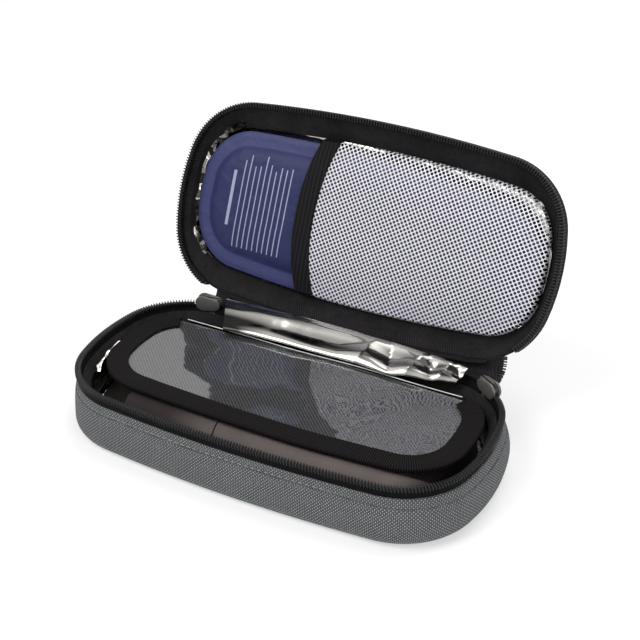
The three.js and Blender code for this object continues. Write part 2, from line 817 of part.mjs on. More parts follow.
// Stiff board and velour bed on the compartment floor, and two elastic straps that arch into pen loops
function penBed() {
  const floor = baseFloor + seatGap;
  const low = floor + boardThickness + seatGap;
  const plan = wholeTurn(caseOutline).map((angle) => caseOutline.point(angle, -bedInset));
  const board = piece('bed_board', sheet(plan, floor, floor + boardThickness), 'foam');
  const bed = piece('pen_bed', sheet(plan, low, low + bedThickness), 'velour');
  const foot = low + bedThickness + seatGap;
  const middles = Array.from({ length: loopCount }, (_, i) => (i - (loopCount - 1) / 2) * loopPitch);
  const arch = (middle, halfWidth, from, to) => {
    const steps = 8;
    return Array.from({ length: steps + 1 }, (_, i) => {
      const turn = Math.PI * (1 - i / steps);
      return new THREE.Vector2(middle + halfWidth * Math.cos(turn), from + (to - from) * Math.sin(turn));
    });
  };
  const end = (loopCount * loopPitch) / 2;
  const outer = middles.flatMap((middle) => (
    arch(middle, loopBore / 2 + elasticThickness, foot + elasticThickness, loopTop)
  ));
  const inner = middles.flatMap((middle) => arch(middle, loopBore / 2, foot, loopTop - elasticThickness));
  const profile = [
    new THREE.Vector2(-end, foot),
    new THREE.Vector2(-end, foot + elasticThickness),
    ...outer,
    new THREE.Vector2(end, foot + elasticThickness),
    new THREE.Vector2(end, foot),
    ...inner.reverse(),
  ];
  const room = solid(sheet(
    wholeTurn(caseOutline).map((angle) => caseOutline.point(angle, -compartmentInset)), 0, zipHeight,
  ));
  const strap = (from, to) => fromSolid(solid(alongX(profile, from, to)).intersect(room));
  return [
    board,
    bed,
    piece('pen_strap_left', strap(leftStrapStart, leftStrapEnd), 'velour'),
    piece('pen_strap_right', strap(rightStrapStart, rightStrapEnd), 'velour'),
  ];
}

// Foil sheet that runs from the lid facing over the hinge and folds down behind the flap
function hingeLining() {
  const profileShares = [
    [0.08, 0.24], [-0.2, 0.27], [-0.8, 0.21], [-1.45, 0.11], [-1.78, -0.05], [-1.68, -0.18],
    [-1.35, -0.2], [-1, -0.21], [-0.68, -0.26],
  ];
  const curve = new THREE.CatmullRomCurve3(profileShares.map(([offset, z]) => (
    new THREE.Vector3(offset * liningReach, zipHeight + z * liningReach, 0)
  )));
  const steps = 12;
  const over = [];
  const under = [];
  for (let i = 0; i <= steps; i += 1) {
    const p = curve.getPoint(i / steps);
    const run = curve.getTangent(i / steps);
    const half = liningThickness / 2;
    over.push(at(caseOutline, p.x - run.y * half, p.y + run.x * half));
    under.push(at(caseOutline, p.x + run.y * half, p.y - run.x * half));
  }
  const section = [...over, ...under.reverse()];
  const from = walk(hingeStart, liningRightGap);
  const to = walk(hingeEnd, -liningLeftGap);
  return piece('hinge_lining', sweep(between(caseOutline, from, to), section), 'foil');
}

// Slider plate outline in its own plane, wide at the nose and drawn in at the tail
function sliderShape() {
  const shape = new THREE.Shape();
  const [half, tail, nose] = [sliderLength / 2, sliderTail / 2, sliderWidth / 2];
  const round = nose / 2;
  shape.moveTo(-half, -tail + round / 2);
  shape.quadraticCurveTo(-half, -tail, -half + round / 2, -tail);
  shape.lineTo(half - 2 * round, -nose);
  shape.quadraticCurveTo(half, -nose, half, -nose + round);
  shape.lineTo(half, nose - round);
  shape.quadraticCurveTo(half, nose, half - 2 * round, nose);
  shape.lineTo(-half + round / 2, tail);
  shape.quadraticCurveTo(-half, tail, -half, tail - round / 2);
  return shape;
}

// Slider: two plates, the wedge that parts the rows, side flanges and the bail for the pull
function sliderGeometry() {
  const gap = sliderGap / 2;
  const plate = new THREE.ExtrudeGeometry(
    sliderShape(), { depth: sliderPlate, bevelEnabled: false, curveSegments: 3 },
  );
  const wedgeShares = [[0.12, 0], [0.34, -0.14], [0.44, 0], [0.34, 0.14]];
  const wedge = new THREE.Shape(wedgeShares.map(([along, across]) => (
    new THREE.Vector2(sliderLength * along, sliderWidth * across)
  )));
  const flangeShare = 0.62;
  const flangeShiftShare = 0.14;
  const post = new THREE.ExtrudeGeometry(wedge, { depth: sliderGap + 2 * overrun, bevelEnabled: false });
  const flange = (side, level) => {
    const depth = gap / 2;
    const box = new THREE.BoxGeometry(sliderLength * flangeShare, bindingThickness, depth + overrun);
    const across = side * (sliderTail / 2 - bindingThickness / 2);
    return box.translate(-sliderLength * flangeShiftShare, across, level * (gap - (depth - overrun) / 2));
  };
  const bailLow = gap + sliderPlate - overrun;
  const bailTop = pullAxisOut() + bailBar / 2;
  const bail = new THREE.Shape([
    new THREE.Vector2(-bailLength / 2, bailLow),
    new THREE.Vector2(-bailLength / 2, bailTop),
    new THREE.Vector2(bailLength / 2, bailTop),
    new THREE.Vector2(bailLength / 2, bailLow),
    new THREE.Vector2(bailLength / 2 - bailBar, bailLow),
    new THREE.Vector2(bailLength / 2 - bailBar, bailTop - bailBar),
    new THREE.Vector2(-bailLength / 2 + bailBar, bailTop - bailBar),
    new THREE.Vector2(-bailLength / 2 + bailBar, bailLow),
  ]);
  const arch = new THREE.ExtrudeGeometry(bail, { depth: bailWidth, bevelEnabled: false });
  arch.rotateX(Math.PI / 2).translate(0, bailWidth / 2, 0);
  return joined([
    plate.clone().translate(0, 0, gap),
    plate.clone().translate(0, 0, -gap - sliderPlate),
    post.translate(0, 0, -gap - overrun),
    flange(1, 1),
    flange(-1, 1),
    flange(1, -1),
    flange(-1, -1),
    arch,
  ]);
}

// Distance of the pull's axis outside the zip line
function pullAxisOut() {
  return sliderGap / 2 + sliderPlate + seatGap + ringRadius + ringWire;
}

// Pull: a ring round the bail and a tab that hangs from it, with its axis at the origin
function pullGeometry() {
  const ring = new THREE.TorusGeometry(ringRadius, ringWire, 6, 12).rotateY(Math.PI / 2);
  const half = pullWidth / 2;
  const neckShare = 0.6;
  const tipShare = 0.8;
  const neck = half * neckShare;
  const tip = half * tipShare;
  const tab = new THREE.Shape();
  tab.moveTo(-neck, -ringRadius);
  tab.lineTo(-half, -ringRadius - half);
  tab.lineTo(-tip, -pullLength + half);
  tab.absarc(0, -pullLength + half, tip, Math.PI, 2 * Math.PI, false);
  tab.lineTo(half, -ringRadius - half);
  tab.lineTo(neck, -ringRadius);
  const blade = new THREE.ExtrudeGeometry(
    tab, { depth: pullThickness, bevelEnabled: false, curveSegments: 4 },
  );
  return joined([ring, blade.translate(0, 0, -pullThickness / 2)]);
}

// Places a piece at a station of the zip line: X along the zip, Y up, Z outwards
function setOnZip(mesh, angle, turned, out) {
  const outward = new THREE.Vector3(Math.cos(angle), Math.sin(angle), 0);
  const along = new THREE.Vector3(-Math.sin(angle), Math.cos(angle), 0);
  const up = new THREE.Vector3(0, 0, 1);
  const flip = turned ? -1 : 1;
  const axes = new THREE.Matrix4().makeBasis(along.multiplyScalar(flip), up.multiplyScalar(flip), outward);
  const p = caseOutline.point(angle, out);
  mesh.position.set(p.x, p.y, zipHeight);
  mesh.quaternion.setFromRotationMatrix(axes);
  return mesh;
}

function sliders() {
  const left = piece('left_slider', sliderGeometry(), 'sliderMetal');
  const right = piece('right_slider', sliderGeometry(), 'sliderMetal');
  const leftPull = piece('left_pull', pullGeometry(), 'sliderMetal');
  const rightPull = piece('right_pull', pullGeometry(), 'sliderMetal');
  return [
    setOnZip(left, leftSliderAngle, false, 0),
    setOnZip(right, rightSliderAngle, true, 0),
    setOnZip(leftPull, leftSliderAngle, false, pullAxisOut()),
    setOnZip(rightPull, rightSliderAngle, false, pullAxisOut()),
  ];
}

const base = new THREE.Group();
base.add(...baseShell(), baseFacing(), ...baseZip(), ...penBed(), flapHinge(), hingeLining());
base.add(...flap(), ...sliders());

// The lid is built closed, then turned open about the hinge axis
const lid = new THREE.Group();
lid.position.set(0, hingeY, zipHeight);
lid.rotation.x = -openAngle;
const closedLid = new THREE.Group();
closedLid.position.set(0, -hingeY, -zipHeight);
closedLid.add(...lidShell(), ...lidZip(), ...meshPocket(), gelPack());
lid.add(closedLid);

const insulatedCase = new THREE.Group();
insulatedCase.add(base, lid);

export default insulatedCase;
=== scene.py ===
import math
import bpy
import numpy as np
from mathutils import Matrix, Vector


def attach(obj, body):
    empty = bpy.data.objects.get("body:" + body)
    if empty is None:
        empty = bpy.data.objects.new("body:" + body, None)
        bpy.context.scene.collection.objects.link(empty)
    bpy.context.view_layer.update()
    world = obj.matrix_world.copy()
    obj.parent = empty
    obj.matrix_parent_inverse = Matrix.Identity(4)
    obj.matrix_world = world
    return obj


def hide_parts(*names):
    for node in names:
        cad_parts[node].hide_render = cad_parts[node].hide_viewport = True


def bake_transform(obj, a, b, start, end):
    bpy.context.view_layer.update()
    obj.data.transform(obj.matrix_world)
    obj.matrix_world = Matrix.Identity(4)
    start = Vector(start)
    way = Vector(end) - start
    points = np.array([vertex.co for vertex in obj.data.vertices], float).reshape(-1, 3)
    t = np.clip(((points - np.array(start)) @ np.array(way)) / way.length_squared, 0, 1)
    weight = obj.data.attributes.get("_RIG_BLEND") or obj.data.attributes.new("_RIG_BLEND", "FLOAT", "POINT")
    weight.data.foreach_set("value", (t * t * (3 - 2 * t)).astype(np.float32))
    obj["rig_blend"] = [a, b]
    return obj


bl_info = {
    "name": "Insulated Medicine Case",
    "version": (1, 0, 0),
    "blender": (4, 5, 0),
    "location": "3D View > Sidebar > Medicine Case",
    "description": "Builds a soft insulated medicine case in two zipped halves, shown open",
    "category": "Add Mesh",
}

import bmesh
import bpy
from bpy.props import FloatProperty, FloatVectorProperty, PointerProperty
from mathutils import Matrix, Vector, noise

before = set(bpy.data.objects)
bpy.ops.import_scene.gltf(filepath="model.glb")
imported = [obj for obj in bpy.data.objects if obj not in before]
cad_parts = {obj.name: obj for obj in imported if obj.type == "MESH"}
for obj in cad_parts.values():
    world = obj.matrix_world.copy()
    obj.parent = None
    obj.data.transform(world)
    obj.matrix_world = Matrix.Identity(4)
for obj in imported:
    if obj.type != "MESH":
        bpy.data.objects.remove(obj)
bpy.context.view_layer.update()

MM = 0.001
FULL = 2 * math.pi
# Seed of the noise that crumples the foil edges and the cloth, which otherwise follows the clock
SEED = 1


# Sizes and colours


def linear(code):
    """Turns an sRGB hex colour into the linear values that Blender works in."""
    shares = [int(code[i : i + 2], 16) / 255 for i in (1, 3, 5)]
    return tuple(s / 12.92 if s <= 0.04045 else ((s + 0.055) / 1.055) ** 2.4 for s in shares)


def distance(name, description, millimetres):
    return FloatProperty(name=name, description=description, default=millimetres * MM, unit="LENGTH")


def dye(name, description, code):
    return FloatVectorProperty(
        name=name, description=description, subtype="COLOR", size=3, default=linear(code)
    )


class CaseSizes(bpy.types.PropertyGroup):
    length: distance("Length", "Length of the case on the zip line", 200)
    width: distance("Width", "Width of the case on the zip line", 103)
    corner: distance("Corner radius", "Radius of the plan's corners", 35)
    side_bow: distance("Side radius", "Radius of the long sides", 700)
    end_bow: distance("End radius", "Radius of the short ends", 100)
    zip_height: distance("Zip height", "Height of the zip's middle plane", 29.5)
    cloth_top: distance("Cloth top", "Height of the base cloth's upper edge", 25.2)
    bottom_round: distance("Bottom rounding", "Radius of the base's lower edge", 5)
    flare: distance("Flare", "How far the base widens towards its foot", 2)
    lid_depth: distance("Lid depth", "Height of the lid above the zip", 18.1)
    hinge_y: distance("Hinge place", "Distance of the hinge behind the middle", 51.9)
    open_angle: FloatProperty(
        name="Lid angle", description="How far the lid stands open", default=math.radians(114),
        subtype="ANGLE",
    )
    coil_pitch: distance("Coil pitch", "Spacing of the zip coil's turns", 1.45)
    net_pitch: distance("Net pitch", "Spacing of the holes in the net", 1.8)
    stitch_pitch: distance("Stitch pitch", "Spacing of the seam's stitches", 3.2)


class CaseColours(bpy.types.PropertyGroup):
    oxford: dye("Oxford cloth", "Grey outer cloth", "#5c5e5f")
    tape: dye("Black tape", "Facings and zip tape", "#100f10")
    webbing: dye("Webbing", "Binding of the flap", "#080707")
    coil: dye("Zip coil", "Nylon coil of the zip", "#2a2a2b")
    foil: dye("Foil", "Metallised film lining", "#cfccc6")
    gel_rim: dye("Gel pack weld", "Welded rim of the pack", "#363a61")
    gel_middle: dye("Gel pack", "Filled middle of the pack", "#22274d")
    net: dye("Net", "Polyester net", "#dfdee4")
    twill: dye("Twill", "Lining twill of the flap", "#88898c")
    velour: dye("Velour", "Bed and elastic loops", "#5e5654")
    slider: dye("Slider", "Painted zip slider", "#5f5d5a")


def sizes():
    return bpy.context.scene.medicine_case_sizes


def colours():
    return bpy.context.scene.medicine_case_colours


# Outlines in plan


class Outline:
    """A rounded plan of three tangent arcs per quarter, known by the direction each point faces."""

    def __init__(self, length, width, corner, side, end, middle_y=0.0):
        self.middle_y = middle_y
        self.radii = {"side": side, "corner": corner, "end": end}
        side_centre = Vector((0, width / 2 - side))
        end_centre = Vector((length / 2 - end, 0))
        axis = end_centre - side_centre
        apart = axis.length
        axis.normalize()
        along = ((side - corner) ** 2 - (end - corner) ** 2 + apart**2) / (2 * apart)
        across = math.sqrt((side - corner) ** 2 - along**2)
        corner_centre = side_centre + axis * along + Vector((axis.y, -axis.x)) * across
        self.centres = {"side": side_centre, "corner": corner_centre, "end": end_centre}
        self.side_turn = math.atan2(*(corner_centre - side_centre).yx)
        self.end_turn = math.atan2(*(corner_centre - end_centre).yx)

    def part(self, angle):
        turn = math.atan2(abs(math.sin(angle)), abs(math.cos(angle)))
        return "end" if turn < self.end_turn else "corner" if turn < self.side_turn else "side"

    def centre(self, angle):
        centre = self.centres[self.part(angle)]
        x = centre.x * math.copysign(1, math.cos(angle))
        y = centre.y * math.copysign(1, math.sin(angle))
        return Vector((x, y + self.middle_y, 0))

    def point(self, angle, offset=0.0, z=0.0):
        reach = self.radii[self.part(angle)] + offset
        place = self.centre(angle) + Vector((math.cos(angle), math.sin(angle), 0)) * reach
        place.z = z
        return place

    def arcs(self, start, end):
        """Arcs between two directions, as pairs of directions."""
        turns = (self.end_turn, self.side_turn, math.pi - self.side_turn, math.pi - self.end_turn)
        breaks = sorted(turn + k * math.pi for k in range(-2, 5) for turn in turns)
        marks = [start] + [a for a in breaks if start + 1e-6 < a < end - 1e-6] + [end]
        return list(zip(marks, marks[1:]))

    def facing(self, x, y):
        """Direction that the nearest point of the outline faces."""
        p = Vector((abs(x), abs(y - self.middle_y)))
        best = None
        for name, low, high in (
            ("end", -math.pi, self.end_turn),
            ("corner", self.end_turn, self.side_turn),
            ("side", self.side_turn, math.pi),
        ):
            away = p - self.centres[name]
            turn = math.atan2(away.y, away.x)
            clamped = min(max(turn, low), high)
            gap = self.radii[name] - away.length
            if abs(turn - clamped) < 1e-9 and (best is None or gap < best[0]):
                best = (gap, turn)
        turn = best[1] if best else math.atan2(p.y, p.x)
        up = math.copysign(math.sin(turn), y - self.middle_y) if turn >= 0 else math.sin(turn)
        return math.atan2(up, math.cos(turn) * math.copysign(1, x))

    def inside(self, x, y):
        """Distance inside the outline, negative outside."""
        angle = self.facing(x, y)
        away = Vector((x, y, 0)) - self.centre(angle)
        return self.radii[self.part(angle)] - away.length

    def stretch(self, low, high):
        """Length of one arc."""
        return self.radii[self.part((low + high) / 2)] * (high - low)

    def run(self, angle):
        """Length along the outline from the direction of +X."""
        arcs = self.arcs(0, angle) if angle > 0 else self.arcs(angle, 0)
        return math.copysign(sum(self.stretch(*arc) for arc in arcs), angle)

    def walk(self, angle, length):
        """Direction reached by going a length along the outline."""
        ahead = self.arcs(angle, angle + FULL) if length > 0 else self.arcs(angle - FULL, angle)[::-1]
        left = abs(length)
        for low, high in ahead:
            radius = self.radii[self.part((low + high) / 2)]
            if left <= radius * (high - low):
                return low + left / radius if length > 0 else high - left / radius
            left -= radius * (high - low)
        return angle

    def evenly(self, start, end, pitch):
        """Directions of points at an even pitch between two directions."""
        length = sum(self.stretch(*arc) for arc in self.arcs(start, end))
        count = int(length / pitch)
        return [self.walk(start, (i + 0.5) * length / count) for i in range(count)]


def case_outline():
    """The case on the zip line."""
    s = sizes()
    return Outline(s.length, s.width, s.corner, s.side_bow, s.end_bow)


def opening_width():
    return sizes().width - 24 * MM


def opening_outline():
    """The opening in the lid's facing."""
    s = sizes()
    return Outline(s.length - 14 * MM, opening_width(), 25 * MM, s.side_bow, s.end_bow)


def pack_outline():
    """The gel pack before the net pushes it over."""
    s = sizes()
    return Outline(s.length - 18 * MM, s.width - 33 * MM, 27 * MM, s.side_bow, 80 * MM)


def flap_outline():
    """The flap, which starts behind the pens in front and ends at its cloth hinge."""
    s = sizes()
    low, high = 18.5 * MM - s.width / 2, s.width / 2 - 9.5 * MM
    return Outline(s.length - 19 * MM, high - low, 28 * MM, s.side_bow, s.end_bow, (low + high) / 2)


LEFT_SLIDER = math.radians(100)
RIGHT_SLIDER = math.radians(57)
SLIDER_REACH = 7.3 * MM


# Mesh building


def new_bmesh():
    """Empty mesh whose points know their length along a section and their tone."""
    bm = bmesh.new()
    bm.verts.layers.float.new("run")
    bm.verts.layers.float.new("tone")
    return bm


def unit(value):
    """Holds a value between 0 and 1."""
    return min(1.0, max(0.0, value))


def in_mm(points, height=0.0):
    """Points of a section in metres, from millimetres outwards and up from a height."""
    return [(out * MM, height + up * MM) for out, up in points]


def smooth_run(points, rounds):
    """Rounds a section's corners by cutting them, keeping its ends."""
    for _ in range(rounds):
        cut = [points[0]]
        for a, b in zip(points, points[1:]):
            cut += [tuple(p * (1 - t) + q * t for p, q in zip(a, b)) for t in (0.25, 0.75)]
        points = cut + [points[-1]]
    return points


def round_corner(offset, z, radius, low, high, steps):
    """Points of a section round a corner, from one direction to another in degrees."""
    turns = [math.radians(low + (high - low) * i / steps) for i in range(steps + 1)]
    return [(offset + radius * math.cos(turn), z + radius * math.sin(turn)) for turn in turns]


def chain(bm, places, tone=0.0):
    """Joins places with edges and notes each one's length along the chain."""
    run, shade = bm.verts.layers.float["run"], bm.verts.layers.float["tone"]
    verts, length = [], 0.0
    for place in places:
        length += (place - places[len(verts) - 1]).length if verts else 0.0
        vert = bm.verts.new(place)
        vert[run], vert[shade] = length, tone
        verts.append(vert)
    return verts, [bm.edges.new(pair) for pair in zip(verts, verts[1:])]


def grid(x_segments, y_segments):
    """Level sheet of small squares from -1 to 1, for its points to be placed."""
    bm = new_bmesh()
    bmesh.ops.create_grid(bm, x_segments=x_segments, y_segments=y_segments, size=1)
    return bm


def hold_inside(vert, outline, margin):
    """Draws a point in that is nearer to the outline than a margin."""
    room = outline.inside(vert.co.x, vert.co.y) - margin
    if room < 0:
        angle = outline.facing(vert.co.x, vert.co.y)
        vert.co += Vector((math.cos(angle), math.sin(angle), 0)) * room


def edges_of(geometry):
    return [e for e in geometry if isinstance(e, bmesh.types.BMEdge)]


# Largest turn of one step on each part of an outline, in degrees
STEPS = {"side": 0.9, "corner": 4.5, "end": 3.2}


def sweep(outline, points, start=0.0, end=FULL, closed=True, fine=1.0, tone=0.0, bm=None):
    """Sweeps a section of (offset, height) pairs along an outline, arc by arc.

    An open section gets its rings filled over a full turn, and a closed one its ends on a part turn.
    """
    bm = new_bmesh() if bm is None else bm
    verts, edges = chain(bm, [outline.point(start, offset, z) for offset, z in points], tone)
    if closed:
        edges.append(bm.edges.new((verts[-1], verts[0])))
    last = verts + edges
    for low, high in outline.arcs(start, end):
        step = math.radians(STEPS[outline.part((low + high) / 2)]) * fine
        last = bmesh.ops.spin(
            bm, geom=last, cent=outline.centre((low + high) / 2), axis=(0, 0, 1), angle=high - low,
            steps=max(1, round((high - low) / step)), use_duplicate=False,
        )["geom_last"]
    if end - start > FULL - 1e-6:
        bmesh.ops.remove_doubles(bm, verts=bm.verts, dist=2e-6)
        if not closed:
            bmesh.ops.holes_fill(bm, edges=[e for e in bm.edges if e.is_boundary], sides=0)
    elif closed:
        bmesh.ops.edgeloop_fill(bm, edges=edges)
        bmesh.ops.edgeloop_fill(bm, edges=edges_of(last))
    return bm


def lay_uv(mesh, outline, plan):
    """Gives a mesh a UV map in metres: in plan on level faces, and along and up the outline on the others."""
    layer = mesh.uv_layers.new(name="UVMap").data
    runs = mesh.attributes["run"].data
    whole = 2 * outline.run(math.pi) if outline else 0.0
    around = {}
    for face in mesh.polygons:
        level = outline is None or (plan and abs(face.normal.z) > 0.9)
        first = None
        for loop in face.loop_indices:
            index = mesh.loops[loop].vertex_index
            co = mesh.vertices[index].co
            if level:
                layer[loop].uv = (co.x, co.y)
                continue
            if index not in around:
                around[index] = outline.run(outline.facing(co.x, co.y))
            u = around[index]
            first = u if first is None else first
            if abs(u - first) > whole / 2:
                u -= math.copysign(whole, u - first)
            layer[loop].uv = (u, runs[index].value)


def lid_open():
    """Turn about the hinge from the closed lid to the open one."""
    s = sizes()
    hinge = Vector((0, s.hinge_y, s.zip_height))
    turn = Matrix.Rotation(-s.open_angle, 4, "X")
    return Matrix.Translation(hinge) @ turn @ Matrix.Translation(-hinge)


def add_object(name, data):
    obj = bpy.data.objects.new(name, data)
    bpy.context.scene.collection.objects.link(obj)
    return obj


def make_piece(name, bm, body, material, slot, *nodes, outline=None, wall=0.0, sharp=35.0, plan=True):
    """Turns a finished bmesh into a piece that rides on a body and stands for nodes.

    The lid and the pack in it are drawn closed and turned open here.
    """
    if wall:
        bmesh.ops.solidify(bm, geom=list(bm.faces), thickness=wall)
    bmesh.ops.remove_doubles(bm, verts=bm.verts, dist=1e-6)
    bmesh.ops.recalc_face_normals(bm, faces=bm.faces)
    bm.normal_update()
    mesh = bpy.data.meshes.new(name)
    bm.to_mesh(mesh)
    bm.free()
    lay_uv(mesh, outline, plan)
    if body in ("lid", "gel_pack"):
        mesh.transform(lid_open())
    mesh.shade_smooth()
    mesh.set_sharp_from_angle(angle=math.radians(sharp))
    mesh.materials.append(material)
    piece = add_object(name, mesh)
    if body:
        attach(piece, body)
    if nodes:
        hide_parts(*nodes)
    return piece


def repeated(cell, places):
    """A mesh with a copy of a small one at each place."""
    mesh = bpy.data.meshes.new("cell")
    cell.to_mesh(mesh)
    cell.free()
    bm = new_bmesh()
    for place in places:
        copy = mesh.copy()
        copy.transform(place)
        bm.from_mesh(copy)
        bpy.data.meshes.remove(copy)
    bpy.data.meshes.remove(mesh)
    return bm


def block(bm, place, size):
    made = bmesh.ops.create_cube(bm, size=1)["verts"]
    bmesh.ops.scale(bm, verts=made, vec=size)
    bmesh.ops.translate(bm, verts=made, vec=place)
    return made


def round_edges(bm, edges, radius, segments):
    bmesh.ops.bevel(bm, geom=edges, offset=radius, offset_type="OFFSET", segments=segments, profile=0.5,
                    affect="EDGES", material=-1)


def turned(along, out, up):
    return Matrix((along, out, up)).transposed().to_4x4()


def station(outline, angle, offset, z):
    """Frame on the outline: X along it, Y outwards, Z up."""
    out = Vector((math.cos(angle), math.sin(angle), 0))
    return Matrix.Translation(outline.point(angle, offset, z)) @ turned((-out.y, out.x, 0), out, (0, 0, 1))


# Materials


def add_node(tree, kind, inputs=(), out=0, **settings):
    """Adds a node with its settings and inputs, and gives one of its outputs.

    In place of a kind or of an input's value, a formula such as ("MULTIPLY", a, b) adds a Math node.
    """
    if isinstance(kind, tuple):
        kind, inputs, settings = "Math", kind[1:], {"operation": kind[0]}
    node = tree.nodes.new(f"ShaderNode{kind}")
    for name, value in settings.items():
        setattr(node, name, value)
    for socket, value in inputs.items() if isinstance(inputs, dict) else enumerate(inputs):
        if isinstance(value, tuple) and isinstance(value[0], str):
            value = add_node(tree, value)
        if isinstance(value, bpy.types.NodeSocket):
            tree.links.new(value, node.inputs[socket])
        else:
            node.inputs[socket].default_value = value
    return node.outputs[out] if node.outputs else node


def new_tree(owner):
    """Empty node tree of a material or a world."""
    owner.use_nodes = True
    owner.node_tree.nodes.clear()
    return owner.node_tree


# The shader's sockets by the names that the finishes use
SOCKETS = {
    "roughness": "Roughness",
    "specular": "Specular IOR Level",
    "metallic": "Metallic",
    "ior": "IOR",
    "alpha": "Alpha",
}


def finish(name, **sockets):
    """Turns a recipe into a function that gives the finish, which it makes when first asked for it.

    The recipe fills a node tree. It gives the colour, and the height, depth in mm and strength of any relief.
    """

    def take(recipe):
        def give(kind="", *values):
            material = bpy.data.materials.get(name + kind)
            if not material:
                material = bpy.data.materials.new(name + kind)
                tree = new_tree(material)
                colour, *relief = recipe(tree, *values)
                inputs = {SOCKETS[key]: value for key, value in sockets.items()}
                inputs["Base Color"] = colour
                if relief:
                    height, depth, strength = relief
                    inputs["Normal"] = add_node(
                        tree, "Bump", {"Height": height, "Distance": depth * MM, "Strength": strength}
                    )
                add_node(tree, "OutputMaterial", (add_node(tree, "BsdfPrincipled", inputs),))
            return material

        return give

    return take


def rgba(colour):
    return (*tuple(colour)[:3], 1)


def shaded(tree, colour, *patterns):
    """Colour multiplied by 0 to 1 patterns in turn, each with its share at 0 and at 1."""
    if not isinstance(colour, bpy.types.NodeSocket):
        colour = rgba(colour)
    for pattern, low, high in patterns:
        share = add_node(tree, "MapRange", {"Value": pattern, "To Min": low, "To Max": high})
        colour = add_node(
            tree, "Mix", {0: 1.0, 6: colour, 7: share}, 2, data_type="RGBA", blend_type="MULTIPLY"
        )
    return colour


def axes(tree, space):
    """Place of a point on each axis of its object or its UV map, in metres."""
    return list(add_node(tree, "SeparateXYZ", (add_node(tree, "TexCoord", out=space),)).node.outputs)


def threads(tree, u_mm, v_mm):
    """The piece's own UV in thread counts, as two separate numbers."""
    return [add_node(tree, ("DIVIDE", axis, mm * MM)) for axis, mm in zip(axes(tree, "UV"), (u_mm, v_mm))]


def object_noise(tree, per_metre, detail=3.0, roughness=0.55):
    """Cloudy pattern in the piece's own space."""
    inputs = {"Vector": add_node(tree, "TexCoord", out="Object"), "Scale": per_metre, "Detail": detail}
    return add_node(tree, "TexNoise", {**inputs, "Roughness": roughness}, "Fac")


def piece_tone(tree):
    """The tone that a piece's points carry: the gel pack's paler weld, and painted shade on the zip's core, the
    base's tapes and the loose hinge foil.
    """
    return add_node(tree, "Attribute", out="Fac", attribute_name="tone")


def ridge(count):
    """Round ridge across each thread, from 0 at its sides to 1 on its crest."""
    return ("SINE", ("MULTIPLY", ("FRACT", count), math.pi))


def plain_weave(tree, u, v):
    """Height of a plain weave, warp over weft in turn, and which of the two is on top."""
    warp, weft = add_node(tree, ridge(u)), add_node(tree, ridge(v))
    turn = add_node(tree, ("FLOORED_MODULO", ("ADD", ("FLOOR", u), ("FLOOR", v)), 2.0))
    over = ("MULTIPLY", warp, ("MULTIPLY_ADD", weft, 0.6, 0.4))
    under = ("MULTIPLY", weft, ("MULTIPLY_ADD", warp, 0.6, 0.4))
    return add_node(tree, "Mix", {0: turn, 2: under, 3: over}), turn


@finish("woven_oxford_polyester", roughness=0.82, specular=0.12)
def oxford_cloth(tree):
    """Polyester oxford, plain woven from 0.8 mm bundles: matt, with light warp floats on a darker weft.

    The lowest 6 mm are painted paler, as painted light bounced up from the white floor.
    """
    u, v = threads(tree, 0.81, 0.81)
    height, turn = plain_weave(tree, u, v)
    lit = ("MULTIPLY", height, ("MULTIPLY_ADD", turn, 0.6, 0.4))
    cell = add_node(tree, "CombineXYZ", (("FLOOR", u), ("FLOOR", v)))
    uneven = add_node(tree, "TexWhiteNoise", {"Vector": cell}, "Value", noise_dimensions="3D")
    # Painted light: the cloth is made paler towards the bottom, as light bounced up from the white floor.
    rise = ("DIVIDE", axes(tree, "Object")[2], 6 * MM)
    floor_bounce_light = ("POWER", ("SUBTRACT", 1.0, ("MINIMUM", 1.0, rise)), 1.5)
    colour = shaded(tree, colours().oxford, (uneven, 0.9, 1.1), (lit, 0.0, 3.0), (floor_bounce_light, 1.0, 1.9),
                    (object_noise(tree, 60), 0.92, 1.08))
    return colour, height, 0.25, 0.7


@finish("herringbone_polyester_tape", roughness=0.8, specular=0.08)
def herringbone_tape(tree):
    """Black polyester facing in a 1.2 mm herringbone, which only shows as a faint painted sheen on its threads,
    with some dust.
    """
    u, v = threads(tree, 1.2, 1.2)
    height = add_node(tree, ridge(("ADD", u, ("PINGPONG", v, 2.5))))
    # Painted sheen: the herringbone's crests are made lighter. A piece's tone paints the tape darker, as
    # painted shade.
    colour = shaded(tree, colours().tape, (height, 0.3, 2.6), (object_noise(tree, 45, 4.0, 0.7), 0.1, 2.6),
                    (object_noise(tree, 500, 2.0), 0.5, 1.6), (piece_tone(tree), 1.0, 0.25))
    return colour, height, 0.15, 0.7


@finish("ribbed_polyester_webbing", roughness=0.75, specular=0.05)
def ribbed_webbing(tree):
    """Black polyester binding with 1.1 mm cross ribs, whose crests are painted light as fine bars of painted
    highlight.
    """
    u, v = threads(tree, 1.1, 0.7)
    height = add_node(tree, ("MULTIPLY", ridge(u), ("MULTIPLY_ADD", ridge(v), 0.4, 0.6)))
    # Painted highlight: the ribs' crests are made up to ten times lighter than the black webbing.
    colour = shaded(tree, colours().webbing, (("POWER", height, 3.0), 0.0, 10.0),
                    (object_noise(tree, 70), 0.85, 1.15))
    return colour, height, 0.25, 0.8


@finish("woven_elastic_band", roughness=0.7, specular=0.08)
def elastic_band(tree):
    """Woven elastic with 2.1 mm cords that run along it."""
    u, v = threads(tree, 2.1, 0.9)
    height = add_node(tree, ("MULTIPLY_ADD", ridge(v), 0.25, ("MULTIPLY", ridge(u), 0.75)))
    return shaded(tree, colours().tape, (height, 0.2, 2.4)), height, 0.3, 0.8


@finish("drawn_nylon_coil", roughness=0.3, specular=0.12, ior=1.53)
def nylon_coil(tree):
    """Nylon monofilament of the zip: black, with the soft shine of drawn plastic, on a core painted darker as
    painted shade between the turns.
    """
    return (shaded(tree, colours().coil, (piece_tone(tree), 1.0, 0.05), (object_noise(tree, 300), 0.8, 1.3)),)


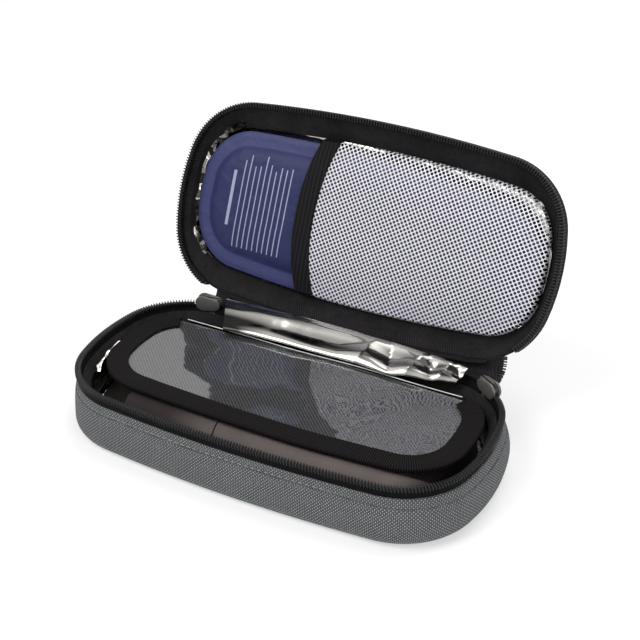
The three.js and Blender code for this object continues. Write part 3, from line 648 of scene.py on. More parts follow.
@finish("metallised_film", roughness=0.13, metallic=1.0)
def metallised_foil(tree, crease_mm=9.0, depth_mm=0.5, darkest_facet=0.35, rarity=1.0):
    """Vacuum-metallised film on soft padding: a mirror that creases break into facets, each painted its own
    brightness as painted reflection.

    The creases are crease_mm apart. Some facets are painted as dark as the darkest share given, and rarity
    makes the bright painted glints fewer. A piece's tone paints the film darker, as painted shade.
    """
    place = add_node(tree, "TexCoord", out="Object")
    warp = add_node(tree, "TexNoise", {"Vector": place, "Scale": 60.0, "Detail": 2.0}, "Color")
    bent = add_node(tree, "VectorMath", (warp, (0.005, 0.005, 0.005), place), operation="MULTIPLY_ADD")
    large, small = (
        add_node(tree, "TexVoronoi", {"Vector": bent, "Scale": cells / (crease_mm * MM)}, feature="F1")
        for cells in (1, 3)
    )
    # Painted reflection: each facet's brightness is set at random, and the piece's tone adds painted shade.
    facet = add_node(tree, "SeparateColor", (large.node.outputs["Color"],))
    colour = shaded(tree, colours().foil, (("POWER", facet, rarity), darkest_facet, 1.1),
                    (piece_tone(tree), 1.0, 0.04), (object_noise(tree, 45), 0.8, 1.1))
    return colour, ("MULTIPLY_ADD", small, 0.3, large), depth_mm, 0.9


@finish("clear_pvc_film", roughness=0.03, ior=3.2, alpha=0.4)
def clear_film(tree):
    """Clear flexible PVC, 0.2 mm thick: seen through, with a full gloss on its loose waves.

    Its IOR is above that of PVC, because the sheet has to mirror the lid as strongly as the real one does.
    """
    height = ("MULTIPLY_ADD", object_noise(tree, 60, 1.0), 0.08, object_noise(tree, 16, 1.0))
    return rgba(linear("#0c0c0d")), height, 6.0, 0.8


@finish("clear_pvc_edge", roughness=0.2)
def film_edge_glint(tree):
    """Cut edge of the clear film, an opaque pale bead as a painted glint: the bright line of light that the
    edge gathers.
    """
    return (shaded(tree, linear("#dfe2e2"), (object_noise(tree, 160, 2.0), 0.45, 1.25)),)


@finish("printed_nylon_gel_film", roughness=0.45, specular=0.2)
def gel_film(tree):
    """Nylon-backed film of the gel pack: satin blue, paler where it is welded flat."""
    rim, middle = rgba(colours().gel_rim), rgba(colours().gel_middle)
    film = add_node(tree, "Mix", {0: piece_tone(tree), 6: rim, 7: middle}, 2, data_type="RGBA")
    ink = {0: ruled_bars(tree), 6: film, 7: rgba(linear("#b4b7cf"))}
    printed = add_node(tree, "Mix", ink, 2, data_type="RGBA")
    weave, _ = plain_weave(tree, *threads(tree, 0.6, 0.6))
    height = ("MULTIPLY_ADD", object_noise(tree, 130, 2.0), 6.0, ("MULTIPLY", weave, 0.2))
    return shaded(tree, printed, (object_noise(tree, 55), 0.9, 1.12)), height, 0.25, 0.6


def ruled_bars(tree):
    """One thick and ten thin ruled bars across the pack's open end, in place of any print."""
    x, y, _ = axes(tree, "UV")
    row = add_node(tree, ("DIVIDE", ("ADD", x, 68 * MM), 2.9 * MM))
    uneven = add_node(tree, "TexWhiteNoise", {"W": ("FLOOR", row)}, "Value", noise_dimensions="1D")
    line = ("LESS_THAN", ("FRACT", row), 0.2)
    rows = ("MULTIPLY", ("GREATER_THAN", row, 0.0), ("LESS_THAN", row, 10.0))
    low = ("GREATER_THAN", y, ("MULTIPLY_ADD", uneven, 7 * MM, -24 * MM))
    thin = ("MULTIPLY", ("MULTIPLY", line, rows), ("MULTIPLY", low, ("LESS_THAN", y, 24 * MM)))
    bar = ("MULTIPLY", ("GREATER_THAN", x, -73.5 * MM), ("LESS_THAN", x, -71.8 * MM))
    thick = ("MULTIPLY", bar, ("LESS_THAN", ("ABSOLUTE", y), 14 * MM))
    return add_node(tree, ("MULTIPLY", ("MAXIMUM", thin, thick), 0.6))


@finish("knitted_polyester_net", roughness=0.6, specular=0.3)
def net_yarn(tree):
    """Knitted polyester net: white yarn with a faint twist, and real holes."""
    colour = shaded(tree, colours().net, (object_noise(tree, 900), 0.85, 1.05))
    return colour, object_noise(tree, 1500), 0.12, 0.6


@finish("woven_lining_twill", roughness=0.8, specular=0.15)
def lining_twill(tree):
    """Grey lining twill, with diagonals 1.3 mm apart that stay visible through the film."""
    height = add_node(tree, ridge(("ADD", *threads(tree, 1.9, 1.9))))
    colour = shaded(tree, colours().twill, (height, 0.35, 1.45), (object_noise(tree, 30), 0.9, 1.08))
    return colour, height, 0.15, 0.6


@finish("brushed_nylon_velour", roughness=0.9, specular=0.15)
def brushed_velour(tree):
    """Short brushed velour: soft and taupe, and painted darker towards both ends, nearly black at the right, as
    painted shade.
    """
    pile = object_noise(tree, 1400, 2.0)
    along = axes(tree, "Object")[0]
    # Painted shade: the velour is made darker towards its left end, and nearly black towards its right end.
    left, right = (
        add_node(
            tree, "MapRange",
            {"Value": along, "From Min": low * MM, "From Max": high * MM, "To Min": before, "To Max": after},
            interpolation_type="SMOOTHSTEP",
        )
        for low, high, before, after in ((-45, -12, 0.22, 1.0), (66, 86, 1.0, 0.08))
    )
    colour = shaded(tree, colours().velour, (("MULTIPLY", left, right), 0.0, 1.0),
                    (object_noise(tree, 35, 2.0), 0.6, 1.35), (pile, 0.85, 1.1))
    return colour, pile, 0.2, 0.5


@finish("painted_cast_zinc", roughness=0.38, metallic=0.25)
def painted_zinc(tree):
    """Die-cast zinc slider in grey paint: satin, with worn high spots."""
    colour = shaded(tree, colours().slider, (object_noise(tree, 400), 0.85, 1.15))
    return colour, object_noise(tree, 700), 0.05, 0.5


@finish("polyester_sewing_thread", roughness=0.55)
def sewing_thread(tree):
    """Twisted polyester thread, a little glossier than the cloth that it holds."""
    return (shaded(tree, linear("#7d8282"), (object_noise(tree, 1600), 0.75, 1.2)),)


@finish("closed_cell_foam", roughness=0.95)
def closed_cell_foam(tree):
    """Closed-cell foam and its board: pale, with fine pores."""
    pores = object_noise(tree, 1100, 2.0)
    return shaded(tree, linear("#b9bcbd"), (pores, 0.85, 1.08)), pores, 0.15, 0.5


def dress_node(name, material):
    """Gives a CAD node that keeps its shape its own material."""
    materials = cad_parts[name].data.materials
    materials.clear()
    materials.append(material)


# Base


class CASE_OT_base_shell(bpy.types.Operator):
    """Grey cloth shell of the base with its topstitched upper edge, which stands for the foam core too"""

    bl_idname = "medicine_case.base_shell"
    bl_label = "Base shell"

    def execute(self, context):
        s, outline = sizes(), case_outline()
        r, top, skin, rim = s.bottom_round, s.cloth_top, 1.2 * MM, 0.9 * MM
        outer = round_corner(s.flare - r, r, r, -90, 0, 7)
        for z in (8, 11, 14, 17, 20):
            share = (z * MM - r) / (top - r)
            outer.append((s.flare * (1 - share) + 0.5 * MM * math.sin(math.pi * share), z * MM))
        hem = [(0.5, -5.1), (0.2, -4.4), (0.35, -3.7), (0.2, -1.9), (-0.05, -1.15), (-0.4, -0.9)]
        outer += in_mm(hem, top) + [(-skin, top - rim), (s.flare - skin, r)]
        bm = sweep(outline, outer + round_corner(s.flare - r, r, r - skin, 0, -90, 3)[1:], closed=False)
        self.bulge(bm, top)
        make_piece("base_cloth", bm, "base", oxford_cloth(), "grey_cloth", "base_cover", "base_foam",
                   outline=outline)
        self.sew(outline, top - 4.4 * MM)
        return {"FINISHED"}

    def bulge(self, bm, top):
        """Lets the right end swell out halfway up, as it does round the foam."""
        begin, ramp, swell = 40 * MM, 45 * MM, 2.4
        for vert in bm.verts:
            away = Vector((vert.co.x, vert.co.y, 0))
            share = unit((away.x - begin) / ramp) * math.sin(math.pi * unit(vert.co.z / top))
            vert.co += away.normalized() * swell * MM * share

    def sew(self, outline, height):
        stitch, thread = bmesh.new(), 0.3 * MM
        bmesh.ops.create_icosphere(stitch, subdivisions=1, radius=1)
        bmesh.ops.scale(stitch, verts=stitch.verts, vec=(1.15 * MM, thread, thread))
        places = outline.evenly(0, FULL, sizes().stitch_pitch)
        bm = repeated(stitch, [station(outline, angle, thread, height) for angle in places])
        make_piece("base_topstitch", bm, "base", sewing_thread(), "grey_cloth", sharp=80)


class CASE_OT_base_facing(bpy.types.Operator):
    """Black padded facing round the inside of the base's rim"""

    bl_idname = "medicine_case.base_facing"
    bl_label = "Base facing"

    def execute(self, context):
        outline = case_outline()
        section = [(-2.45, -4.2), (-2.45, -0.5), (-2.6, 0.0), (-3.2, 0.25), (-3.9, -0.5), (-5.2, -2.1)]
        section += [(-6.4, -4.2)]
        make_piece("base_rim_facing", sweep(outline, in_mm(section, sizes().cloth_top)), "base",
                   herringbone_tape(), "black_cloth", "base_facing", outline=outline)
        return {"FINISHED"}


class CASE_OT_base_foil(bpy.types.Operator):
    """Creased foil lining of the base compartment, with a crumpled edge at its left end"""

    bl_idname = "medicine_case.base_foil"
    bl_label = "Base foil"

    def execute(self, context):
        outline = case_outline()
        corner, outer, inner = 9.5 * MM, 3.7 * MM, 3.2 * MM
        profile = round_corner(-corner, corner, outer, -90, 0, 5) + in_mm((-5.8, z) for z in (13, 17, 20.6))
        profile += in_mm((-6.3, z) for z in (20.6, 17, 13)) + round_corner(-corner, corner, inner, 0, -90, 4)
        bm = sweep(outline, profile, closed=False)
        make_piece("base_foil_lining", bm, "base", metallised_foil(), "foil", "base_foil", outline=outline)
        edge = [(-4.6, 22.4), (-5.4, 24.0), (-6.4, 25.1), (-7.4, 25.5), (-8.3, 25.0)]
        crumpled_edge("base_foil_edge", "base", outline, in_mm(edge), (152, 197), 0.5)
        return {"FINISHED"}


# Zip


def coil_turn():
    """One turn of the zip's coil: a bent monofilament that hooks over the tape's edge."""
    bm = bmesh.new()
    block(bm, (0, 0, 0), (0.55 * MM, 2.9 * MM, 2.4 * MM))
    round_edges(bm, list(bm.edges), 0.24 * MM, 1)
    return bm


class CASE_OT_zip(bpy.types.Operator):
    """Both halves of the zip: woven tapes, coils with their meshing turns, and the strips at the hinge"""

    bl_idname = "medicine_case.zip"
    bl_label = "Zip"

    def execute(self, context):
        s, outline = sizes(), case_outline()
        walk = outline.walk
        zipped = (walk(LEFT_SLIDER, SLIDER_REACH), walk(RIGHT_SLIDER, -SLIDER_REACH) + FULL)
        z, top = s.zip_height, s.cloth_top
        tape = [(-1.5, -4.2), (-1.5, -1.6), (-0.5, -1.0), (0.2, 1.2), (0.3, 2.5), (-0.3, 2.6), (-0.6, 1.9)]
        tape += [(-1.7, 0.6), (-2.1, 0.0), (-2.1, -4.2)]
        lid_tape = [(0.3, 1.9), (0.6, 4.0), (0.65, 6.5), (-0.8, 6.5), (-0.75, 4.0), (-0.3, 1.9)]
        self.ribbon("base", "zip_tape", "tape", outline, LEFT_SLIDER, RIGHT_SLIDER + FULL, in_mm(tape, top))
        self.ribbon("lid", "zip_tape", "tape", outline, *zipped, in_mm(lid_tape, z))
        self.coil("base", outline, *zipped, -0.75 * MM, 0.0)
        self.coil("lid", outline, *zipped, 0.75 * MM, 0.5)
        strip = tape[:4] + [(0.3, 4.1), (-0.3, 4.1), (-0.5, 2.2)] + tape[7:]
        lid_strip = [(0.3, 0.2)] + lid_tape[1:-1] + [(-0.3, 0.2)]
        for body, reach, section in (
            ("base", 4 * MM, in_mm(strip, top)), ("lid", SLIDER_REACH, in_mm(lid_strip, z))
        ):
            span = (walk(RIGHT_SLIDER, reach), walk(LEFT_SLIDER, -reach))
            self.ribbon(body, "hinge_tape", "hinge_strip", outline, *span, section)
        return {"FINISHED"}

    def ribbon(self, body, name, node, outline, start, end, section):
        # The base's tapes get tone 1, which paints them darker than the lid's, as painted shade.
        bm = sweep(outline, section, start, end, tone=0.0 if body == "lid" else 1.0)
        make_piece(f"{body}_{name}", bm, body, herringbone_tape(), "black_cloth", f"{body}_{node}",
                   outline=outline)

    def coil(self, body, outline, start, end, drop, phase):
        """Leaning turns on a core painted dark, as painted shade between the turns. The lid's row is half a
        pitch on, so that the two rows mesh.
        """
        pitch, height, seat = sizes().coil_pitch, sizes().zip_height + drop, -0.8 * MM
        lean = Matrix.Rotation(math.radians(-14), 4, "Y")
        first, last = outline.walk(start, phase * pitch), outline.walk(end, -(0.5 - phase) * pitch)
        places = outline.evenly(first, last, pitch)
        bm = repeated(coil_turn(), [station(outline, angle, seat, height) @ lean for angle in places])
        core = [(-1.7, -1.1), (0.1, -1.1), (0.2, -0.4), (0.1, 0.2), (-1.7, 0.2), (-1.8, -0.4)]
        side = -1 if body == "lid" else 1
        core = in_mm([(out, side * up) for out, up in core], height)
        # The core carries tone 1, which paints it nearly black as painted shade.
        sweep(outline, core, start, end, fine=1.5, tone=1.0, bm=bm)
        make_piece(f"{body}_coil", bm, body, nylon_coil(), "zip_plastic", f"{body}_teeth", outline=outline,
                   sharp=50)


class CASE_OT_sliders(bpy.types.Operator):
    """Painted zip sliders: two rounded plates on a wedge, with flanges and a bail, and their hanging pulls"""

    bl_idname = "medicine_case.sliders"
    bl_label = "Sliders"

    def execute(self, context):
        outline, height = case_outline(), sizes().zip_height
        for side, angle, nose in (("left", LEFT_SLIDER, 1), ("right", RIGHT_SLIDER, -1)):
            bm = new_bmesh()
            for level in (-1, 1):
                self.plate(bm, nose, level * 1.75 * MM, 1.1 * MM)
                for edge in (-1, 1):
                    flange = (-1.6 * MM * nose, level * 0.95 * MM, edge * 2.9 * MM)
                    block(bm, flange, (8 * MM, 0.7 * MM, 0.7 * MM))
            block(bm, (3.4 * MM * nose, 0, 0), (2.6 * MM, 2.6 * MM, 1.6 * MM))
            self.bail(bm)
            corners = [e for e in bm.edges if e.is_manifold and e.calc_face_angle(0) > 0.9]
            round_edges(bm, corners, 0.22 * MM, 2)
            bm.transform(station(outline, angle, 0, height))
            make_piece(f"{side}_slider_body", bm, "base", painted_zinc(), "slider_metal", f"{side}_slider",
                       sharp=40)
            dress_node(f"{side}_pull", painted_zinc())
        return {"FINISHED"}

    def plate(self, bm, nose, out, thick):
        """Rounded plate between a wide nose and a narrow tail."""
        made = []
        for x, radius in ((2.5 * MM * nose, 4 * MM), (-3.4 * MM * nose, 3.1 * MM)):
            for level in (-0.5, 0.5):
                turn = Matrix.Translation((x, out + level * thick, 0)) @ Matrix.Rotation(math.pi / 2, 4, "X")
                made += bmesh.ops.create_circle(bm, segments=24, radius=radius, matrix=turn)["verts"]
        hull = bmesh.ops.convex_hull(bm, input=made)
        bmesh.ops.delete(bm, geom=hull["geom_interior"], context="VERTS")
        bmesh.ops.dissolve_limit(bm, angle_limit=0.01, verts=bm.verts, edges=bm.edges)

    def bail(self, bm):
        """Flat wire that arches over the outer plate to hold the pull's ring."""
        foot = set(block(bm, (-3.05 * MM, 2.3 * MM, 0), (0.7 * MM, 0.6 * MM, 1.0 * MM)))
        top = [f for f in bm.faces if set(f.verts) <= foot and f.calc_center_median().y > 2.5 * MM]
        middle, flatter = Vector((0, 2.6 * MM, 0)), 0.68
        bmesh.ops.spin(bm, geom=top, cent=middle, axis=(0, 0, -1), angle=math.pi, steps=12,
                       use_duplicate=False)
        for vert in bm.verts:
            if vert.co.y > 2.65 * MM:
                vert.co.y = middle.y + (vert.co.y - middle.y) * flatter


# Compartment


class CASE_OT_pen_bed(bpy.types.Operator):
    """Velour bed and the two elastic straps whose loops hold the pens"""

    bl_idname = "medicine_case.pen_bed"
    bl_label = "Pen bed"

    def execute(self, context):
        outline = case_outline()
        bm = sweep(outline, in_mm([(-10.2, 8.3), (-10, 8.6), (-10.2, 8.9)]), closed=False)
        make_piece("velour_bed", bm, "base", brushed_velour(), "velour", "pen_bed", outline=outline)
        dress_node("bed_board", closed_cell_foam())
        for side, low, high in (("left", -64, -17.3), ("right", -16.6, 71)):
            self.strap(side, low * MM, high * MM, outline)
        return {"FINISHED"}

    def strap(self, side, low, high, outline):
        """Elastic band folded into four arches, pushed along X, with its corners cut to the compartment."""
        foot, top, pitch, half, skin = 9.2 * MM, 23.8 * MM, 20.5 * MM, 8.8 * MM, 0.45 * MM
        line = [(-2 * pitch, foot + skin)]
        for middle in [(i - 1.5) * pitch for i in range(4)]:
            for turn in [math.pi * (1 - k / 16) for k in range(17)]:
                line.append((middle + (half + skin) * math.cos(turn),
                             foot + skin + (top - foot - 2 * skin) * math.sin(turn)))
        line.append((2 * pitch, foot + skin))
        bm = new_bmesh()
        _, edges = chain(bm, [Vector((low, y, z)) for y, z in line])
        steps = max(4, round((high - low) / (5 * MM)))
        for _ in range(steps):
            grown = bmesh.ops.extrude_edge_only(bm, edges=edges)["geom"]
            edges = edges_of(grown)
            moved = [v for v in grown if isinstance(v, bmesh.types.BMVert)]
            bmesh.ops.translate(bm, verts=moved, vec=((high - low) / steps, 0, 0))
        for vert in bm.verts:
            if side == "right" and vert.co.y < -pitch:
                vert.co.x = low + (vert.co.x - low) * 1.17
            hold_inside(vert, outline, 7.2 * MM)
        make_piece(f"elastic_strap_{side}", bm, "base", brushed_velour(), "velour", f"pen_strap_{side}",
                   wall=0.8 * MM, sharp=50)


# Flap


BINDING_END, FILM_END, TWILL_END, FLAP_REAR = (math.radians(angle) for angle in (53, 54, 57, 85.7))


def flap_wave(x, y):
    """Loose rise and fall of the flap, in metres."""
    return 0.7 * MM * noise.noise(Vector((x * 26, y * 30, 3.7)))


class CASE_OT_flap(bpy.types.Operator):
    """Flap of lining twill under clear film, bound in ribbed webbing, with its cloth hinge"""

    bl_idname = "medicine_case.flap"
    bl_label = "Flap"

    def execute(self, context):
        outline = flap_outline()
        front, twill, film, rear = (
            outline.point(angle).y for angle in (-math.pi / 2, TWILL_END, FILM_END, FLAP_REAR)
        )
        for name, low, high, offset, z, thick, material, slot, *nodes in (
            ("flap_twill", front, twill, 0.0, 25.35, 0.6, lining_twill, "twill", "flap_panel"),
            ("flap_hinge_cloth", twill, rear, -0.5, 25.0, 0.6, herringbone_tape, "black_cloth"),
            ("flap_clear_film", front, film, -0.2, 26.05, 0.22, clear_film, "clear_film", "flap_window"),
        ):
            bm = self.panel(outline, low, high, offset * MM, z * MM)
            make_piece(name, bm, "flap", material(), slot, *nodes, wall=thick * MM, sharp=50)
        self.binding(outline)
        self.film_edge(outline)
        dress_node("flap_hinge_strip", herringbone_tape())
        return {"FINISHED"}

    def film_edge(self, outline):
        """Thick edge of the film at the pocket's mouth, made pale and bright as a painted glint."""
        bm, radius, rear = new_bmesh(), 0.22 * MM, outline.point(FILM_END).y
        bmesh.ops.create_cone(bm, cap_ends=True, segments=8, radius1=radius, radius2=radius,
                              depth=2 * outline.point(FILM_END, -9 * MM).x)
        bmesh.ops.rotate(bm, verts=bm.verts, matrix=Matrix.Rotation(math.pi / 2, 3, "Y"))
        bmesh.ops.subdivide_edges(bm, edges=[e for e in bm.edges if e.calc_length() > 9 * MM], cuts=60)
        for vert in bm.verts:
            vert.co.y += rear
            vert.co.z += 26.3 * MM + flap_wave(vert.co.x, rear)
        make_piece("film_edge", bm, "flap", film_edge_glint(), "clear_film", sharp=60)

    def panel(self, outline, low, rear, offset, z):
        """Level sheet inside the outline between two heights in plan, with the flap's loose waves.

        Past the end of the binding it keeps 8 mm more from the outline.
        """
        bm = grid(64, 28)
        for vert in bm.verts:
            y = low + (vert.co.y + 1) / 2 * (rear - low)
            past = unit((y - outline.point(BINDING_END).y) / (0.6 * MM) + 1)
            x = vert.co.x * self.half_width(outline, y, offset - 8 * MM * past)
            vert.co = (x, y, z + flap_wave(x, y))
        return bm

    def half_width(self, outline, y, offset):
        """Half the outline's width at a height in plan, and 2 mm at least."""
        low, high = 0.0, outline.point(0, offset).x
        if outline.inside(0, y) + offset >= 0:
            for _ in range(40):
                middle = (low + high) / 2
                if outline.inside(middle, y) + offset > 0:
                    low = middle
                else:
                    high = middle
        return max(low, 2 * MM)

    def binding(self, outline):
        """Folded webbing round the flap's front and ends, drawn in towards the ends of its run."""
        low, top = 24.2, 27.0
        middle = (low + top) / 2
        section = [(-9.5, low), (-1, low - 0.02), (0.3, low + 0.15), (0.85, low + 0.7), (0.9, middle)]
        section += [(0.85, top - 0.7), (0.3, top - 0.15), (-1, top + 0.02), (-5, top + 0.05)]
        section += [(-9.3, top - 0.05), (-9.5, top - 0.3), (-9.3, top - 0.55), (-5, top - 0.6)]
        section += [(0.2, top - 0.7), (0.3, middle)]
        section += [(0.2, low + 0.7), (-9.5, low + 0.55)]
        bm = sweep(outline, in_mm(section), math.pi - BINDING_END, FULL + BINDING_END)
        turning, ending = (outline.point(angle).y for angle in (math.radians(38), BINDING_END))
        for vert in bm.verts:
            share = max(0.0, (vert.co.y - turning) / (ending - turning))
            vert.co.x -= math.copysign(2.2 * MM * share, vert.co.x)
            vert.co.z += flap_wave(vert.co.x, vert.co.y)
        make_piece("flap_webbing", bm, "flap", ribbed_webbing(), "black_cloth", "flap_binding",
                   outline=outline, plan=False)


# Hinge


class CASE_OT_hinge_web(bpy.types.Operator):
    """Black cloth web that joins the two halves at the hinge, with the coil's last turns at its right end"""

    bl_idname = "medicine_case.hinge_web"
    bl_label = "Hinge web"

    def execute(self, context):
        outline = case_outline()
        first, last = outline.walk(RIGHT_SLIDER, -1 * MM), outline.walk(LEFT_SLIDER, 1 * MM)
        bm = grid(90, 10)
        run = bm.verts.layers.float["run"]
        length = outline.run(last) - outline.run(first)
        for vert in bm.verts:
            along, across = (vert.co.x + 1) / 2, (vert.co.y + 1) / 2
            vert.co = self.place(outline, outline.walk(first, along * length), across)
            vert.co += 0.25 * MM * noise.noise_vector(vert.co * 160)
            vert[run] = across * 9 * MM
        self.ride_both(make_piece("hinge_web_cloth", bm, None, herringbone_tape(), "black_cloth",
                                  outline=outline, wall=0.5 * MM, sharp=60))
        self.last_turns(outline, first)
        return {"FINISHED"}

    def place(self, outline, angle, across):
        """Point of the web: 0 on the base's tape, 1 on the lid's, bulging back in between."""
        z = sizes().zip_height
        low = outline.point(angle, -0.5 * MM, z - 2.2 * MM)
        high = lid_open() @ outline.point(angle, -0.7 * MM, z + 4.25 * MM)
        gap = (high - low).length
        back = Vector((0.25 * math.cos(angle), 0.8, -0.35)).normalized()
        return low.lerp(high, across) + back * 0.24 * gap * math.sin(math.pi * across)

    def last_turns(self, outline, angle):
        """The lid coil's last turns, which bend round the web's right edge."""
        steps = 40
        line = [self.place(outline, angle, i / steps) for i in range(steps + 1)]
        length = sum((b - a).length for a, b in zip(line, line[1:]))
        count = int(length / sizes().coil_pitch)
        outward = Vector((1, 0.35, 0)).normalized()
        places = []
        for i in range(count):
            at = min(steps - 1, int((i + 0.5) / count * steps))
            along = (line[at + 1] - line[at]).normalized()
            up = along.cross(outward).normalized()
            places.append(Matrix.Translation(line[at]) @ turned(along, up.cross(along), up))
        self.ride_both(make_piece("right_coil_end", repeated(coil_turn(), places), None, nylon_coil(),
                                  "zip_plastic", sharp=50))

    def ride_both(self, piece):
        s = sizes()
        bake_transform(piece, "lid", "base", start=(0, s.hinge_y + 3 * MM, s.zip_height + 2 * MM),
                 end=(0, s.hinge_y - 1.5 * MM, s.zip_height - 1.5 * MM))


# Length across the loose foil at which it goes from following the lid to following the flap
FOIL_SEAM = 11 * MM
# Creases across the loose foil: place along it, height and half width, in millimetres
CREASES = (
    (-38, 0.9, 20), (-8, -1.0, 18), (21, 2.2, 13), (34, -1.3, 9), (46, 1.6, 8), (54, -1.6, 6), (61, 1.8, 5),
    (68, -1.4, 4),
)


class CASE_OT_hinge_lining(bpy.types.Operator):
    """Loose foil sheet that crosses the hinge and folds down behind the flap"""

    bl_idname = "medicine_case.hinge_lining"
    bl_label = "Hinge lining"

    def execute(self, context):
        s, outline = sizes(), case_outline()
        walk = outline.walk
        line = [(-0.2, 4.4), (-3.0, 3.9), (-8.0, 2.6), (-13.5, 1.2), (-16.2, -0.5), (-15.4, -1.9)]
        line += [(-12.8, -2.1), (-10.0, -2.1), (-6.8, -2.6)]
        start = walk(walk(RIGHT_SLIDER, SLIDER_REACH), 5 * MM)
        end = walk(walk(LEFT_SLIDER, -SLIDER_REACH), -1 * MM)
        bm = sweep(outline, smooth_run(in_mm(line, s.zip_height), 3), start, end, closed=False, fine=0.1)
        run, tone = bm.verts.layers.float["run"], bm.verts.layers.float["tone"]
        for vert in bm.verts:
            vert[tone] = self.crumple(vert, vert[run] / (38 * MM), s.hinge_y)
        self.cut(bm, outline, "hinge_foil", True, ("lid", "base"), (0, -9))
        self.cut(bm, outline, "hinge_foil_fold", False, ("flap", "base"), (-14, -10))
        bm.free()
        return {"FINISHED"}

    def cut(self, whole, outline, name, upper, bodies, span):
        """The sheet above its seam, which follows the lid, or the fold below it, which the flap pushes up."""
        s = sizes()
        bm = whole.copy()
        run = bm.verts.layers.float["run"]
        away = [f for f in bm.faces if (sum(v[run] for v in f.verts) < FOIL_SEAM * len(f.verts)) != upper]
        bmesh.ops.delete(bm, geom=away, context="FACES")
        area = sum(f.calc_area() for f in bm.faces)
        piece = make_piece(name, bm, None, metallised_foil("_fold", 16.0, 0.1, 1.0), "foil",
                           *(("hinge_lining",) if upper else ()), outline=outline, wall=0.15 * MM, sharp=60)
        start, end = ((0, s.hinge_y + across * MM, s.zip_height) for across in span)
        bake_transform(piece, *bodies, start=start, end=end)

    def crumple(self, vert, share, hinge_y):
        """Draws the ends in, lays long folds along the sheet and creases across it, and gives its tone, which
        is painted shade.
        """
        x, forward = vert.co.x, hinge_y - vert.co.y
        # The sheet narrows towards its right end, and is drawn in at its left end
        narrow = unit((x - 36 * MM) / (34 * MM))
        vert.co.y += max(0.0, forward - 5 * MM) * (0.75 * narrow - 0.2)
        if x < 0:
            vert.co.x += 0.51 * forward * (x / (-64 * MM))
        # Long folds, whose number and depth drift along the sheet
        drift, depth = noise.noise(Vector((x * 16, 2.2, 5.0))), noise.noise(Vector((x * 22, 1, 1)))
        folds = math.sin(FULL * (2.6 * share + 0.8 * drift)) * (0.55 + 0.45 * depth)
        # Creases that lean over across the sheet, the narrow ones painted dark on one side and light on the
        # other, as painted shade and light
        sharp = shade = 0.0
        for place, height, width in CREASES:
            leaning = x / MM - place + (10 if height > 0 else -14) * (share - 0.25)
            tent = max(0.0, 1 - abs(leaning) / width)
            sharp += height * tent
            if width < 15:
                shade += 0.4 * tent * (1 if leaning * height > 0 else -0.8)
        # The right end is ragged, and the roll in the middle is calm
        fine = 1 - 3 * abs(noise.noise(Vector((x * 60, share * 4, 7.1))))
        ragged = max(0.0, (x - 20 * MM) / (50 * MM))
        calm = 1 - (0.85 - 0.45 * ragged) * max(0.0, 1 - abs(share - 0.45) / 0.2)
        ease = math.sin(math.pi * share) ** 0.5 if 0 < share < 1 else 0.0
        vert.co.z += MM * ease * calm * (1.2 * folds + 0.9 * sharp + (0.15 + 0.6 * ragged) * fine)
        # Tone, all painted: dark in streaks as painted dark reflections, in the folds and in the hollow at the
        # left end as painted shade, and darker towards the ragged right end
        streak = noise.noise(Vector((x * 14, share * 11, 3.3)))
        hollow = 1.2 * max(0.0, 1 - (x + 66 * MM) / (34 * MM)) * unit((share - 0.1) * 5)
        return unit(0.42 - 0.6 * folds - 1.1 * streak + shade + hollow + 0.35 * ragged)


# Lid


class CASE_OT_lid_shell(bpy.types.Operator):
    """Domed grey cloth shell of the lid, which stands for its foam core too"""

    bl_idname = "medicine_case.lid_shell"
    bl_label = "Lid shell"

    def execute(self, context):
        s, outline = sizes(), case_outline()
        edge, shoulder = 0.45 * MM, 17.5 * MM
        dome = [(0.0, 0.254), (0.03, 0.38), (0.17, 0.62), (0.34, 0.81), (0.62, 0.945), (1, 1)]
        outer = [(-edge - out * (shoulder - edge), s.zip_height + up * s.lid_depth) for out, up in dome]
        outer = smooth_run(outer, 2)
        # The wall is 1 mm thick on the side, and 1.2 mm on the dome
        inner = [(out - 1.0 * MM, up - 0.2 * MM) for out, up in outer[:5]]
        inner += [(out, up - 1.2 * MM) for out, up in outer[5:]]
        make_piece("lid_cloth", sweep(outline, inner[::-1] + outer, closed=False), "lid", oxford_cloth(),
                   "grey_cloth", "lid_cover", "lid_foam", outline=outline)
        return {"FINISHED"}


def crumpled_edge(name, body, outline, line, span, darkest_facet):
    """Crumpled free edge of a foil lining, which stands out past the facing over part of the outline."""
    lid = body == "lid"
    tuck, tuck_run = (3.5 if lid else -3.5) * MM, math.radians(16)
    crumple, crinkle = (1.3 * MM, 130), (0.4 * MM, 340)
    first, last = (math.radians(angle) for angle in span)
    bm = sweep(outline, smooth_run(line, 2), first, last, closed=False, fine=0.22)
    for vert in bm.verts:
        angle = outline.facing(vert.co.x, vert.co.y) % FULL
        vert.co.z += tuck * (1 - unit(min(angle - first, last - angle) / tuck_run)) ** 2
        large, small = (noise.noise_vector(vert.co * per_metre) for _, per_metre in (crumple, crinkle))
        vert.co += Vector((large.x, large.y, 0.9 * large.z - 0.5)) * crumple[0] + small * crinkle[0]
    # Facet brightness is painted reflection; on the lid the bright painted glints are five times rarer.
    material = metallised_foil(f"_{body}_edge", 3.0, 0.3, darkest_facet, 5.0 if lid else 1.0)
    make_piece(name, bm, body, material, "foil", outline=outline, wall=0.12 * MM, sharp=25)


